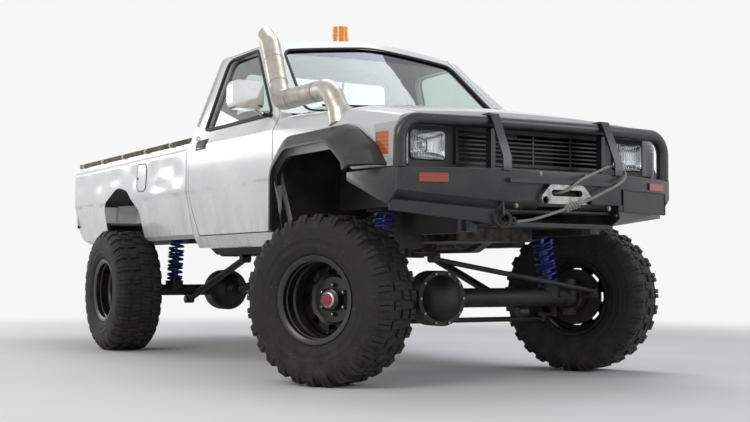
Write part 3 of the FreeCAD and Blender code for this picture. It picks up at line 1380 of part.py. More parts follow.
panel_room_box = box("panel_slice", ahead("nose_face - panel_thick"), ahead("nose_face"),
                     "-(corner_inner - 2)", "corner_inner - 2", "nose_low", "1400")
lamp_holes = [slab(f"lamp_hole_{side + 1}", "front", [
    (f"{side} * lamp_side - lamp_wide / 2", "lamp_height - lamp_tall / 2", "lamp_round"),
    (f"{side} * lamp_side + lamp_wide / 2", "lamp_height - lamp_tall / 2", "lamp_round"),
    (f"{side} * lamp_side + lamp_wide / 2", "lamp_height + lamp_tall / 2", "lamp_round"),
    (f"{side} * lamp_side - lamp_wide / 2", "lamp_height + lamp_tall / 2", "lamp_round"),
], ahead("nose_face - 90"), ahead("nose_face + 10")) for side in (-1, 1)]
grille_hole = box("grille_hole", ahead("nose_face - 60"), ahead("nose_face + 30"),
                  "-(grille_half - grille_rim)", "grille_half - grille_rim",
                  "grille_low + grille_rim", "grille_high - grille_top_bar")
panel = shared("panel_blank", [nose_seat, panel_room_box])
ledge_under = nose_loft("ledge_under", "(wing_thick + fit_gap + 12)")
PANEL_BACK = behind("cowl_front - fit_gap")
ledge_plan = slab("ledge_plan", "plan", [
    (PANEL_BACK, "-560"),
    (PANEL_BACK, "-(bonnet_half_back + 30)"),
    (ahead("nose_mid"), "-(bonnet_half_mid + 30)"),
    (ahead("corner_back"), "-(bonnet_half_lamp + 30)"),
    (ahead("nose_face - 10"), "-(bonnet_half_front + 30)"),
    (ahead("nose_face - 10"), "-560"),
], "1100", "1500")
ledge = carved("ledge", shared("ledge_blank", [nose_seat, ledge_plan]), [ledge_under])
apron = shared("apron", [nose_seat, slab("apron_wall", "side", [
    (PANEL_BACK, "850"),
    (ahead("480"), "850"),
    (ahead("480"), "nose_low"),
    (ahead("nose_face - 10"), "nose_low"),
    (ahead("nose_face - 10"), "1500"),
    (PANEL_BACK, "1500"),
], "-572", "-560")])
apron_foot = box("apron_foot", ahead("380"), ahead("460"), "-572", f"-{RAIL_INNER}",
                 f"{FRONT_LOW} + rail_depth + 20 + fit_gap",
                 f"{FRONT_LOW} + rail_depth + 32")
sub_part("front_panel", carved("front_panel", joined("front_panel_whole", [
    panel, ledge, mirrored("ledge_left", ledge), apron, mirrored("apron_left", apron),
    apron_foot, mirrored("apron_foot_left", apron_foot)]), lamp_holes + [grille_hole]))

grille_front = ahead("nose_face + 14")
grille_seat = ahead("nose_face + fit_gap")
grille_frame = carved("grille_frame", box(
    "grille_block", grille_seat, grille_front, "-grille_half", "grille_half", "grille_low",
    "grille_high"), [grille_hole])
bar_pitch = "((grille_high - grille_top_bar - grille_low - grille_rim) / 7)"
grille_pieces = [grille_frame]
for i in range(1, 7):
    middle = f"grille_low + grille_rim + {i} * {bar_pitch}"
    grille_pieces.append(box(f"grille_bar_{i}", grille_seat, ahead("nose_face + 10"),
                             "-(grille_half - 2)", "grille_half - 2",
                             f"{middle} - grille_bar / 2", f"{middle} + grille_bar / 2"))
for i in (-1, 0, 1):
    grille_pieces.append(box(f"grille_post_{i + 1}", ahead("nose_face + 0.8"),
                             ahead("nose_face + 8"), f"{i} * grille_half / 2 - 5",
                             f"{i} * grille_half / 2 + 5", "grille_low + 2",
                             "grille_high - grille_top_bar + 2"))
sub_part("grille", joined("grille", grille_pieces))


def headlamp(side):
    """A rectangular lamp with rounded corners that fills its hole in the front panel."""
    wide, tall = "(lamp_wide / 2 - fit_gap)", "(lamp_tall / 2 - fit_gap)"
    return slab(f"headlamp_{side + 1}", "front", [
        (f"{side} * lamp_side - {wide}", f"lamp_height - {tall}", "lamp_round - fit_gap"),
        (f"{side} * lamp_side + {wide}", f"lamp_height - {tall}", "lamp_round - fit_gap"),
        (f"{side} * lamp_side + {wide}", f"lamp_height + {tall}", "lamp_round - fit_gap"),
        (f"{side} * lamp_side - {wide}", f"lamp_height + {tall}", "lamp_round - fit_gap"),
    ], ahead("nose_face - 84"), ahead("nose_face + 8"))


sub_part("headlamps", grouped("headlamps", [headlamp(-1), headlamp(1)]))
sub_part("radiator", joined("radiator", [
    box("radiator_core", ahead("290"), ahead("350"), "-300", "300",
        f"{FRONT_LOW} + rail_depth + 6", "1180"),
    box("radiator_foot", ahead("300"), ahead("340"), f"-{RAIL_OUTER}", RAIL_OUTER,
        f"{FRONT_LOW} + rail_depth + fit_gap", f"{FRONT_LOW} + rail_depth + 14")]))

# Load tub and tailgate

TUB_FRONT = behind("cab_back + tub_gap")
tub_wall = slab("tub_wall", "front", [
    ("sill_half + 10", "tub_low"),
    ("tuck_half - 3", "760"),
    ("half_width", "crease_height"),
    ("half_width", "1262", "34"),
    ("828", "1282"),
    ("rail_half", "1288"),
    ("rail_half", "rail_height", "6"),
    ("rail_half - 55", "rail_height", "6"),
    ("tub_inner", "rail_height - 14"),
    ("tub_inner", "tub_under"),
    ("half_width - tub_skin - 29", "tub_under"),
    ("tuck_half - 3 - tub_skin", "766"),
    ("sill_half + 10 - tub_skin", "tub_low + 4"),
], TAIL, TUB_FRONT)


def rear_arch(name, grow, low, low_y, high_y):
    """The rear wheel arch's outline, grown by a distance."""
    return slab(name, "side", [
        (f"{REAR_AXLE} + rear_arch_front + {grow}", low),
        (f"{REAR_AXLE} + rear_arch_front - 57 + {grow}", f"rear_arch_top - 184 + {grow} / 2",
         "120"),
        (f"{REAR_AXLE} + 40 + {grow} / 2", f"rear_arch_top - 39 + {grow}", "150"),
        (f"{REAR_AXLE} - 159 - {grow} / 3", f"rear_arch_top + {grow}", "300"),
        (f"{REAR_AXLE} - rear_arch_back + 9 - {grow}", f"rear_arch_top - 120 + {grow} / 2",
         "120"),
        (f"{REAR_AXLE} - rear_arch_back - {grow}", low),
    ], low_y, high_y)


wall_arch = rear_arch("wall_arch", "0", "600", "tub_inner - 10", "1000")
right_wall = carved("tub_side", tub_wall, [wall_arch])
housing = carved("housing", rear_arch("housing_outer", "(10 + housing_wall)", "tub_under",
                                      "housing_half", "tub_inner + 4"),
                 [rear_arch("housing_inner", "10", "600", "housing_half + housing_wall",
                            "tub_inner + 60")])
floor = carved("tub_deck", box("deck", f"{TAIL} + gate_thick - gate_axis + 22",
                               f"{TUB_FRONT} - 1", "-(tub_inner + 4)", "tub_inner + 4",
                               "tub_under", "tub_floor"),
               [rear_arch("deck_arch", "10", "600", "housing_half + housing_wall", "900"),
                mirrored("deck_arch_right", rear_arch("deck_arch_left", "10", "600",
                                                      "housing_half + housing_wall", "900"))])
post = box("tub_post", TAIL, f"{TAIL} + 60", "gate_half + panel_gap", "tub_inner + 4",
           "tub_under - 90", "rail_height - 14")
pin = round_bar("gate_pin", "y", "gate_pin", "gate_half - 26", "gate_half + panel_gap + 2",
                f"{TAIL} + gate_thick - gate_axis", "gate_low + gate_axis")
tub_pieces = [
    floor,
    box("tub_headboard", f"{TUB_FRONT} - headboard", TUB_FRONT, "-(tub_inner + 4)",
        "tub_inner + 4", "tub_under", "rail_height - 14"),
    box("tub_headboard_rail", f"{TUB_FRONT} - 56", TUB_FRONT, "-(tub_inner + 10)",
        "tub_inner + 10", "rail_height - 64", "rail_height"),
    box("tub_sill_front", behind("1890"), behind("1830"), "-700", "700",
        "tub_sill_low", "tub_under + 4"),
    box("tub_sill_middle", behind("2330"), behind("2270"), "-700", "700",
        "tub_sill_low", "tub_under + 4"),
    box("tub_sill_rear", f"{TAIL} + 56", f"{TAIL} + 96", "-(tub_inner + 4)", "tub_inner + 4",
        "tub_low + 20", "tub_under + 4"),
]
for thing in (right_wall, housing, post, pin):
    tub_pieces += [thing, mirrored(thing.Name + "_right", thing)]
tub_block = joined("tub_block", tub_pieces)
lamp_room = box("tail_lamp_room", f"{TAIL} - 5", f"{TAIL} + 22", "gate_half + panel_gap + 12",
                "half_width - 18", "900", "1130")
post_back = box("tub_post_back", TAIL, f"{TAIL} + 30", "gate_half + panel_gap",
                "half_width - 14", "860", "1170")
tub_whole = joined("tub_whole", [tub_block, post_back, mirrored("tub_post_back_right",
                                                               post_back)])
sub_part("load_tub", carved("load_tub", tub_whole, [lamp_room,
                                                    mirrored("lamp_room_right", lamp_room)]))
tail_lamp = box("tail_lamp", f"{TAIL} + 1", f"{TAIL} + 22 - fit_gap",
                "gate_half + panel_gap + 12 + fit_gap", "half_width - 18 - fit_gap",
                "900 + fit_gap", "1130 - fit_gap")
sub_part("tail_lamps", both_sides("tail_lamps", tail_lamp))

gate_blank = slab("gate_blank", "side", [
    (TAIL, "gate_low"),
    (TAIL, "gate_high", "8"),
    (f"{TAIL} + gate_thick", "gate_high", "8"),
    (f"{TAIL} + gate_thick", "gate_low"),
], "-gate_half", "gate_half")
gate_press = box("gate_press", f"{TAIL} - 1", f"{TAIL} + 7", "-(gate_half - 110)",
                 "gate_half - 110", "gate_low + 90", "gate_high - 90")
gate_bores = [round_bar(f"gate_bore_{side + 1}", "y", "gate_pin + fit_gap", *sorted((
    f"{side} * (gate_half - 30)", f"{side} * (gate_half + 10)"), key=number),
    f"{TAIL} + gate_thick - gate_axis", "gate_low + gate_axis") for side in (-1, 1)]
sub_part("tailgate", carved("tailgate", gate_blank, [gate_press] + gate_bores))

# Winch bar

KNEE = ("bar_centre", "knee_face_low", "lip_knee_high", "lip_knee_low")
END = ("bar_end", "bar_face_low", "lip_end_high", "lip_end_low")


def bar_section(name, station, face, low, lip_high, lip_low, lip=True):
    """The folded plate's side-view outline at a place across the bar."""
    plate = "bar_plate"
    skirt = [
        (ahead(f"{face} - lip_set"), lip_high),
        (ahead(f"{face} - lip_set"), lip_low),
        (ahead(f"{face} - lip_set - {plate}"), lip_low),
        (ahead(f"{face} - lip_set - {plate}"), f"{lip_high} + 4"),
    ]
    return outline(name, "side", [
        (ahead("bar_back"), "bar_top"),
        (ahead(face), "bar_top", "8"),
        (ahead(face), low),
    ] + (skirt if lip else []) + [
        (ahead(f"{face} - {plate}"), f"{low} + 4" if lip else low),
        (ahead(f"{face} - {plate}"), f"bar_top - {plate}"),
        (ahead("bar_back"), f"bar_top - {plate}"),
    ], station)


def ruled(name, sections):
    loft = doc.addObject("Part::Loft", name)
    loft.Sections = sections
    loft.Solid = True
    loft.Ruled = True
    doc.recompute([loft])
    return loft


bar_side = ruled("bar_side", [bar_section("bar_at_knee", "knee_half", *KNEE),
                              bar_section("bar_at_end", "bar_half", *END)])
bar_middle = ruled("bar_middle", [
    bar_section("bar_middle_left", "knee_half", *KNEE, lip=False),
    bar_section("bar_middle_right", "-knee_half", *KNEE, lip=False)])
bar_end = slab("bar_end_plate", "side", [
    (ahead("bar_back"), "bar_top"),
    (ahead("bar_end"), "bar_top", "8"),
    (ahead("bar_end"), "bar_face_low"),
    (ahead("bar_end - lip_set"), "lip_end_high"),
    (ahead("bar_back"), "lip_end_high"),
], "bar_half - bar_plate", "bar_half")
cheek = carved("bar_cheek", slab("bar_cheek_plate", "side", [
    (ahead("bar_back + 20"), "bar_top - bar_plate / 2"),
    (ahead("bar_centre - bar_plate / 2"), "bar_top - bar_plate / 2"),
    (ahead("bar_centre - bar_plate / 2"), "knee_face_low"),
    (ahead("bar_centre"), "lip_knee_low + 34", "12"),
    (ahead("bar_centre - lip_set + bar_plate"), "lip_knee_low"),
    (ahead("bar_back + 20"), "lip_knee_low"),
], "knee_half - bar_plate", "knee_half"), [
    round_bar("cheek_lug_hole", "y", "8 + fit_gap", "knee_half - 20", "knee_half + 10",
              ahead("lug_station"), "lug_height")])
lower_bar = slab("lower_bar", "side", [
    (ahead("bar_centre - lip_set - 50"), "lip_knee_low - 14"),
    (ahead("bar_centre - lip_set + bar_plate"), "lip_knee_low - 14"),
    (ahead("bar_centre - lip_set + bar_plate"), "lip_knee_low + 6"),
    (ahead("bar_centre - lip_set"), "lip_knee_low + 6"),
    (ahead("bar_centre - lip_set"), "lip_knee_low - 4"),
    (ahead("bar_centre - lip_set - 50"), "lip_knee_low - 4"),
], "-knee_half", "knee_half")
horn = box("bar_horn", f"{RAIL_FRONT} + fit_gap", ahead("bar_back + 45"), RAIL_INNER,
           RAIL_OUTER, f"{FRONT_LOW} + 4", "bar_top - bar_plate / 2")
winch_bed = box("winch_bed", ahead("bar_back + 24"), ahead("bar_centre - lip_set - 6"),
                "-(knee_half - 2)", "knee_half - 2", "guide_height - 76 - bar_plate",
                "guide_height - 76")
guide_hole = box("guide_hole", ahead("bar_centre - 30"), ahead("bar_centre + 5"),
                 "-(slot_half + 8)", "slot_half + 8", "guide_height - slot_round - 8",
                 "guide_height + slot_round + 8")
side_wing = carved("bar_wing", shared("bar_wing_block", [
    slab("bar_wing_plan", "plan", [
        (ahead("bar_end"), "bar_half - 4"),
        (ahead("bar_end - 16"), "bar_half + 3"),
        (ahead("wing_tip"), "wing_tip_half"),
        (ahead("wing_tip"), "wing_tip_half - 26"),
        (ahead("bar_back"), "bar_half - 8"),
    ], "700", "1100"),
    slab("bar_wing_side", "side", [
        (ahead("bar_end"), "bar_top"),
        (ahead("wing_tip"), "bar_top - 8"),
        (ahead("wing_tip"), "bar_top - 44"),
        (ahead("bar_end - 128"), "lip_end_high"),
        (ahead("bar_end - lip_set"), "lip_end_low + 30"),
        (ahead("bar_end - 8"), "bar_face_low - 6"),
    ], "0", "1000")]), [
    slab("bar_wing_hollow", "plan", [
        (ahead("bar_end - 24"), "bar_half - 10"),
        (ahead("wing_tip + 12"), "wing_tip_half - 12"),
        (ahead("wing_tip + 12"), "600"),
        (ahead("bar_end - 24"), "600"),
    ], "700", "bar_top - 18")])
bar_pieces = [carved("bar_open", bar_middle, [guide_hole]), lower_bar, winch_bed]
for thing in (bar_side, bar_end, horn, side_wing):
    bar_pieces += [thing, mirrored(thing.Name + "_right", thing)]
bar_pieces += [cheek, mirrored("bar_cheek_right", cheek)]
sub_part("bull_bar_beam", joined("bull_bar_beam", bar_pieces))

hoop_foot = "bar_top + fit_gap"
top_tube = made("top_tube", pipe_shape([
    spot(ahead("hoop_end"), "-hoop_half", hoop_foot),
    spot(ahead("hoop_end"), "-hoop_half", "hoop_height"),
    spot(ahead("hoop_centre"), "-hoop_knee", "hoop_height"),
    spot(ahead("hoop_centre"), "hoop_knee", "hoop_height"),
    spot(ahead("hoop_end"), "hoop_half", "hoop_height"),
    spot(ahead("hoop_end"), "hoop_half", hoop_foot),
], [number("hoop_bend"), 300, 300, number("hoop_bend")], number("hoop_radius")))

strap_top = "(hoop_height + hoop_radius + fit_gap)"
FOOT = "bar_centre + fit_gap"
uprights = []
for side in (-1, 1):
    low, high = (f"{side} * upright_side - upright_width / 2",
                 f"{side} * upright_side + upright_width / 2")
    strap = slab(f"upright_strap_{side + 1}", "side", [
        (ahead("hoop_centre - 32"), strap_top),
        (ahead("hoop_centre - 32"), f"{strap_top} + bar_plate"),
        (ahead("hoop_centre + 34"), f"{strap_top} + bar_plate", "16"),
        (ahead(f"{FOOT} + bar_plate"), "upright_kink + 2"),
        (ahead(f"{FOOT} + bar_plate"), "bar_top - 8"),
        (ahead(FOOT), "bar_top - 8"),
        (ahead(FOOT), "upright_kink"),
        (ahead("hoop_centre + 29"), strap_top, "6"),
    ], low, high)
    post = box(f"upright_post_{side + 1}", ahead("hoop_centre - 20"), ahead("hoop_centre + 20"),
               f"{side} * upright_side - bar_plate", f"{side} * upright_side + bar_plate",
               "bar_top + fit_gap", "hoop_height - hoop_radius - fit_gap")
    uprights += [strap, post]

step_pieces = [box("step_plate", ahead("bar_centre + fit_gap"), ahead("bar_centre + step_reach"),
                   "-step_half", "step_half", "step_height - 8", "step_height"),
               box("step_edge", ahead("bar_centre + step_reach - 6"),
                   ahead("bar_centre + step_reach"), "-step_half", "step_half",
                   "step_height - 18", "step_height")]
for side in (-1, 1):
    ends = sorted((f"{side} * step_half", f"{side} * (step_half - 7)"), key=number)
    step_pieces.append(box(f"step_end_{side + 1}", ahead("bar_centre + fit_gap"),
                           ahead("bar_centre + step_reach"), *ends, "step_height - 18",
                           "step_height"))
sub_part("bull_bar_hoop", grouped("bull_bar_hoop", [top_tube, joined("bar_step", step_pieces)]
                                  + uprights))


def marker_lamp(side, inner, outer, low, high):
    """A flat lamp on the swept part of the bar's face."""
    sweep = "(bar_centre - bar_end) / (bar_half - knee_half)"
    near = f"bar_centre - ({inner} - knee_half) * {sweep} + fit_gap"
    far = f"bar_centre - ({outer} - knee_half) * {sweep} + fit_gap"
    lamp = slab(f"marker_lamp_{side + 1}", "plan", [
        (ahead(near), inner), (ahead(f"{near} + 9"), inner),
        (ahead(f"{far} + 9"), outer), (ahead(far), outer)], low, high)
    return lamp if side > 0 else mirrored("marker_lamp_mirrored", lamp)


sub_part("marker_lamps", grouped("marker_lamps", [
    marker_lamp(-1, "584", "710", "bar_top - 66", "bar_top - 26"),
    marker_lamp(1, "600", "729", "bar_top - 60", "bar_top - 26")]))

# Rope guide, winch, rope and hook

guide = slab("guide_block", "front", [
    ("-guide_half", "guide_height - 50", "22"),
    ("guide_half", "guide_height - 50", "22"),
    ("guide_half - 6", "guide_height - 14", "14"),
    ("guide_half - 56", "guide_height + 38", "14"),
    ("-(guide_half - 56)", "guide_height + 38", "14"),
    ("-(guide_half - 6)", "guide_height - 14", "14"),
], ahead("bar_centre + fit_gap"), ahead("bar_centre + guide_thick"))
slot = slab("guide_slot", "front", [
    ("-slot_half", "guide_height - slot_round", "slot_round - 1"),
    ("slot_half", "guide_height - slot_round", "slot_round - 1"),
    ("slot_half", "guide_height + slot_round", "slot_round - 1"),
    ("-slot_half", "guide_height + slot_round", "slot_round - 1"),
], ahead("bar_centre - 5"), ahead("bar_centre + 60"))
sub_part("rope_guide", carved("rope_guide", guide, [slot]))
winch_z = "guide_height - 6"
sub_part("winch", joined("winch", [
    round_bar("winch_drum", "y", "drum_radius", "-112", "112", ahead("winch_station"), winch_z),
    round_bar("winch_motor", "y", "70 - fit_gap", "-(knee_half - bar_plate - fit_gap)", "-110",
              ahead("winch_station"), winch_z),
    round_bar("winch_gears", "y", "66", "110", "knee_half - bar_plate - fit_gap",
              ahead("winch_station"), winch_z),
]))


def bend_radii(points):
    """For each inner point the largest arc that leaves both of its runs a straight middle."""
    radii = []
    for before, corner, after in zip(points, points[1:], points[2:]):
        back, on = before - corner, after - corner
        half = back.getAngle(on) / 2
        radii.append(0.45 * min(back.Length, on.Length) * math.tan(half))
    return radii


ROPE = [
    ("winch_station + drum_radius + fit_gap", "-58", "guide_height"),
    ("bar_centre + 12", "-54", "guide_height - 2"),
    ("bar_centre + 40", "-2", "guide_height + 12"),
    ("bar_centre + 38", "52", "guide_height + 55"),
    ("bar_centre + 34", "122", "guide_height + 86"),
    ("bar_centre + 14", "214", "guide_height + 118"),
    ("bar_centre - 17", "290", "guide_height + 141"),
    ("bar_centre - 22", "348", "guide_height + 139"),
    ("bar_centre - 1", "377", "guide_height + 115"),
    ("bar_centre + 26", "350", "guide_height + 84"),
    ("bar_centre + 44", "296", "guide_height + 52"),
    ("bar_centre + 42", "194", "guide_height + 7"),
    ("bar_centre + 46", "104", "guide_height - 31"),
    ("bar_centre + 48", "-2", "guide_height - 66"),
    ("bar_centre + 47", "-90", "guide_height - 92"),
    ("bar_centre + 36", "-166", "guide_height - 116"),
    ("bar_centre + 8", "-222", "guide_height - 131"),
    ("lug_station", "-254", "guide_height - 133"),
]
rope_points = [spot(ahead(x), y, z) for x, y, z in ROPE]
rope_bends = bend_radii(rope_points)
print("winch rope bends", [round(radius) for radius in rope_bends])
rope = pipe_shape(rope_points, rope_bends, number("rope_radius"))
knot_start, knot_stop = rope_points[13], rope_points[14]
knot = rod_shape(knot_start + (knot_stop - knot_start) * 0.1,
                 knot_start + (knot_stop - knot_start) * 0.85, 15)
rope_whole = rope.fuse(knot).removeSplitter()

hook_lug = spot(ahead("lug_station"), "-knee_half + bar_plate / 2", "lug_height")
hook_points = [hook_lug + Vector(0, y, z) for y, z in (
    (-12, 0), (22, 0), (48, -18), (44, -62), (-2, -70), (-34, -46), (-38, -16))]
hook_body = pipe_shape(hook_points, [16, 20, 26, 30, 20], 7)
eye = Part.makeTorus(13, 6, hook_lug + Vector(0, 62, -38), Vector(1, 0, 0))
hook_whole = hook_body.fuse(eye).removeSplitter()
sub_part("winch_rope", made("winch_rope", Part.makeCompound([rope_whole, hook_whole])))

# Intake pipe, mirror, beacon and the cab's inside

pipe_points = [
    spot(ahead("128"), "-784", "1262"),
    spot(ahead("22"), "-806", "1424"),
    spot(behind("492"), "-815", "1424"),
    spot(behind("742"), "-762", "1766"),
    spot(behind("860"), "-748", "1838"),
]
pipe_bends = [95, 78, 90]
pipe = pipe_shape(pipe_points, pipe_bends, number("pipe_radius"))
pipe_bore = pipe_shape(pipe_points[2:], pipe_bends[2:], number("pipe_radius - 3"))
pipe_end = made("pipe_end", pipe.cut(pipe_bore))
slash = slab("pipe_slash", "side", [
    (behind("1000"), "1700"),
    (behind("1000"), "2000"),
    (behind("842"), "2000"),
    (behind("802"), "1700"),
], "-900", "-600")
collar = round_bar("pipe_collar", "z", "pipe_radius + 14", "1240", "1312", ahead("118"), "-785")
collar.Placement.Rotation = Rotation(Vector(0, 1, 0), -14)
sub_part("intake_pipe", carved("intake_pipe", joined("intake_pipe_whole", [pipe_end, collar]),
                               [slash, nose_clear]))

mirror_head = slab("mirror_head", "front", [
    ("-(mirror_side + 90)", "1385", "34"), ("-(mirror_side - 90)", "1385", "34"),
    ("-(mirror_side - 90)", "1534", "38"), ("-(mirror_side + 90)", "1534", "38"),
], behind("668"), behind("596"))
mirror_arm = made("mirror_arm", pipe_shape([
    spot(behind("640"), "-(belt_half - 13 + fit_gap)", "1362"),
    spot(behind("640"), "-(belt_half + 44)", "1366"),
    spot(behind("636"), "-(mirror_side - 40)", "1400"),
], [40], 11))
door_clear = slab("door_clear", "front", body_section("-fit_gap"), behind("door_back"),
                  behind("door_front"))
sub_part("mirror_right", carved("mirror_right", joined("mirror_whole", [mirror_head,
                                                                       mirror_arm]),
                                [door_clear]))

roof_slope = math.atan(number("(roof_height + roof_lift - eave_height) / eave_half"))
roof_top = number("roof_height + roof_lift") - number("roof_crown") * (1 / math.cos(roof_slope)
                                                                     - 1)
beacon_x = number(behind("beacon_station"))
beacon_foot = Part.makeCylinder(number("beacon_radius"), 44,
                                Vector(beacon_x, 0, roof_top + number("fit_gap")))
beacon_lens = Part.makeCone(number("beacon_radius - 3"), number("beacon_radius - 9"), 104,
                            Vector(beacon_x, 0, roof_top + number("fit_gap") + 44))
sub_part("beacon", made("beacon", beacon_foot.fuse(beacon_lens)))

seat = slab("seat_shape", "side", [
    (behind("1040"), "960"),
    (behind("1030"), "1125", "50"),
    (behind("1490"), "1090", "20"),
    (behind("1570"), "1540", "36"),
    (behind("1670"), "1540", "36"),
    (behind("1640"), "960"),
], "-600", "600")
seat_base = box("seat_base", behind("1600"), behind("1090"), "-560", "560",
                "floor_top + fit_gap", "962")
sub_part("bench_seat", joined("bench_seat", [seat, seat_base]))
dash = slab("dash", "side", [
    (behind("firewall + 40 + fit_gap"), "1110"),
    (behind("firewall + 40 + fit_gap"), "1340"),
    (behind("620"), "1376", "40"),
    (behind("770"), "1344", "40"),
    (behind("800"), "1200", "40"),
    (behind("690"), "1110"),
], "-620", "620")
column = Vector(-math.cos(math.radians(28)), 0, math.sin(math.radians(28)))
column_foot = spot(behind("800 + fit_gap + 2"), "-wheel_side", "1230")
wheel_middle = column_foot + column * 112
boss = made("column_boss", rod_shape(column_foot - column * 60, column_foot + column * 14, 34))
sub_part("dashboard", joined("dashboard", [dash, boss]))
wheel_shape = Part.makeTorus(188, 14, wheel_middle, column)
wheel_foot = column_foot + column * (14 + number("fit_gap"))
wheel_shape = wheel_shape.fuse(rod_shape(wheel_foot, wheel_middle, 30))
spoke = Part.makeBox(40, 350, 12, Vector(-20, -175, -6))
spoke.Placement = Placement(wheel_middle, Rotation(Vector(0, 0, 1), column)).multiply(
    spoke.Placement)
sub_part("steering_wheel", made("steering_wheel", wheel_shape.fuse(spoke).removeSplitter()))

# Checks and export

doc.recompute()
faults = [thing.Name for thing in doc.Objects
          if "Invalid" in thing.State or "Error" in thing.State]
for thing in sub_parts:
    if thing.Shape.isNull() or not thing.Shape.isValid() or not thing.Shape.Solids:
        faults.append(thing.Label)
if faults:
    raise RuntimeError("failed: " + ", ".join(faults))
os.makedirs("parts", exist_ok=True)
for thing in sub_parts:
    thing.Shape.exportStep(f"parts/{thing.Label}.step")
print(len(sub_parts), "pieces")
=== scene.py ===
# %% [markdown]
# # A lifted off-road pickup, dressed for its portrait
#
# The CAD model gives this white work truck its true shapes and sizes. This lesson adds what
# a camera sees from a step away: enamel, rubber, chrome, dust, bolts, seals, rope and seams.
# Every length is in metres, +X is forward, +Y is the vehicle's left and +Z is up.

# %% Open the frame
import json
import math

import bmesh
import bpy
from mathutils import Matrix, Vector
from mathutils.bvhtree import BVHTree

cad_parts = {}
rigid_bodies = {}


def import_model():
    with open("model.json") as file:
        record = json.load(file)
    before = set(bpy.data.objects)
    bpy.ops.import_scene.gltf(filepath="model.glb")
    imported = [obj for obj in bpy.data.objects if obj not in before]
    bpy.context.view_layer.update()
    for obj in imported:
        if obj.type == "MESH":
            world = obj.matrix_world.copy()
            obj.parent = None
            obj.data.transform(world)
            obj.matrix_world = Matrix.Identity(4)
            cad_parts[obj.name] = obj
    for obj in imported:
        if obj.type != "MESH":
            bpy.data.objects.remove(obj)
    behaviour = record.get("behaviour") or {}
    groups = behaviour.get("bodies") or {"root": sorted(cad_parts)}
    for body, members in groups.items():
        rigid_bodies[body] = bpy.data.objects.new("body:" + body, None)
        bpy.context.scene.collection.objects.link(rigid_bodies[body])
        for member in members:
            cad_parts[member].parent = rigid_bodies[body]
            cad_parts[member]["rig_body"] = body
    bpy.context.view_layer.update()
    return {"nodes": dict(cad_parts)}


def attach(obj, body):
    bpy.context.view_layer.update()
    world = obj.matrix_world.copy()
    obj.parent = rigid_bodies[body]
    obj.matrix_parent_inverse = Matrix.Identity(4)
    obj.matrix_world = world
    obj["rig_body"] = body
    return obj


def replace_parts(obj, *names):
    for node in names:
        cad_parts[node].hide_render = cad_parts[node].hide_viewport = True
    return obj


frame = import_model()

# %% [markdown]
# ## Stations
#
# A coachbuilder measures a body from its axles. The same few stations are used all through
# this lesson: the two axles, the tail, and the height of the wheels' middles.

# %% Stations and small helpers
FRONT, REAR, TAIL = 1.605, -1.295, -2.473
WHEEL_HIGH = 0.405
STEER = math.radians(28)


def mm(x, y, z):
    """A point given in millimetres."""
    return Vector((x, y, z)) / 1000


def behind(a, y, z):
    """A point a given number of millimetres behind the front axle."""
    return Vector((FRONT - a / 1000, y / 1000, z / 1000))


def linear(code):
    """An sRGB hex colour as the linear numbers that shaders use."""
    parts = [int(code[i:i + 2], 16) / 255 for i in (1, 3, 5)]
    return tuple(c / 12.92 if c <= 0.04045 else ((c + 0.055) / 1.055) ** 2.4
                 for c in parts) + (1.0,)


def fill(tree, node, key, value):
    """Sets one input: a node or a socket is linked, and a hex code becomes a colour."""
    if isinstance(value, bpy.types.Node):
        value = value.outputs[0]
    if isinstance(value, bpy.types.NodeSocket):
        tree.links.new(value, node.inputs[key])
    else:
        node.inputs[key].default_value = linear(value) if isinstance(value, str) else value


def add(tree, kind, inputs=None, **settings):
    """Adds a node, sets its choices, and fills or links its inputs."""
    node = tree.nodes.new(kind)
    for key, value in settings.items():
        setattr(node, key, value)
    for key, value in (inputs or {}).items():
        fill(tree, node, key, value)
    return node


def in_scene(name, data):
    """A new object that shows some data, linked to the scene."""
    thing = bpy.data.objects.new(name, data)
    bpy.context.scene.collection.objects.link(thing)
    return thing


print("helpers ready; front wheels' middles", [round(v, 3) for v in (FRONT, WHEEL_HIGH)])

# %% [markdown]
# ## How a finish is built
#
# Each material starts as one Principled shader. Colour, roughness and bump are then driven
# by patterns on Object coordinates, whose unit is the metre, so a pattern's size can be
# worked out from a real one. Four helpers cover nearly everything: blotches of a given size,
# a change between two stations, a stain over a colour, and a grain pressed into the surface.
# One pattern is kept inside another by linking the other to its highest value.

# %% Pattern helpers


def surface(name, base, rough, **constants):
    """A named Principled material with plain constants; patterns are linked in later."""
    material = bpy.data.materials.new(name)
    material.use_nodes = True
    material.diffuse_color = linear(base)
    tree = material.node_tree
    tree.nodes.clear()
    inputs = {"Base Color": base, "Roughness": rough}
    inputs.update({key.replace("_", " "): value for key, value in constants.items()})
    shader = add(tree, "ShaderNodeBsdfPrincipled", inputs)
    add(tree, "ShaderNodeOutputMaterial", {"Surface": shader})
    return material, tree, shader


def place(tree, stretch=(1, 1, 1)):
    """Object coordinates, stretched."""
    where = add(tree, "ShaderNodeTexCoord")
    return add(tree, "ShaderNodeMapping", {"Vector": where.outputs["Object"], "Scale": stretch})


def blotches(tree, size, start=0.4, end=0.6, detail=4.0, stretch=(1, 1, 1), most=1.0):
    """Blotches about a size in millimetres; most is a number or another pattern."""
    noise = add(tree, "ShaderNodeTexNoise", {"Vector": place(tree, stretch), "Scale": 1000 / size,
                                             "Detail": detail, "Roughness": 0.55})
    return add(tree, "ShaderNodeMapRange", {"Value": noise, 1: start, 2: end, 4: most},
               interpolation_type="SMOOTHSTEP")


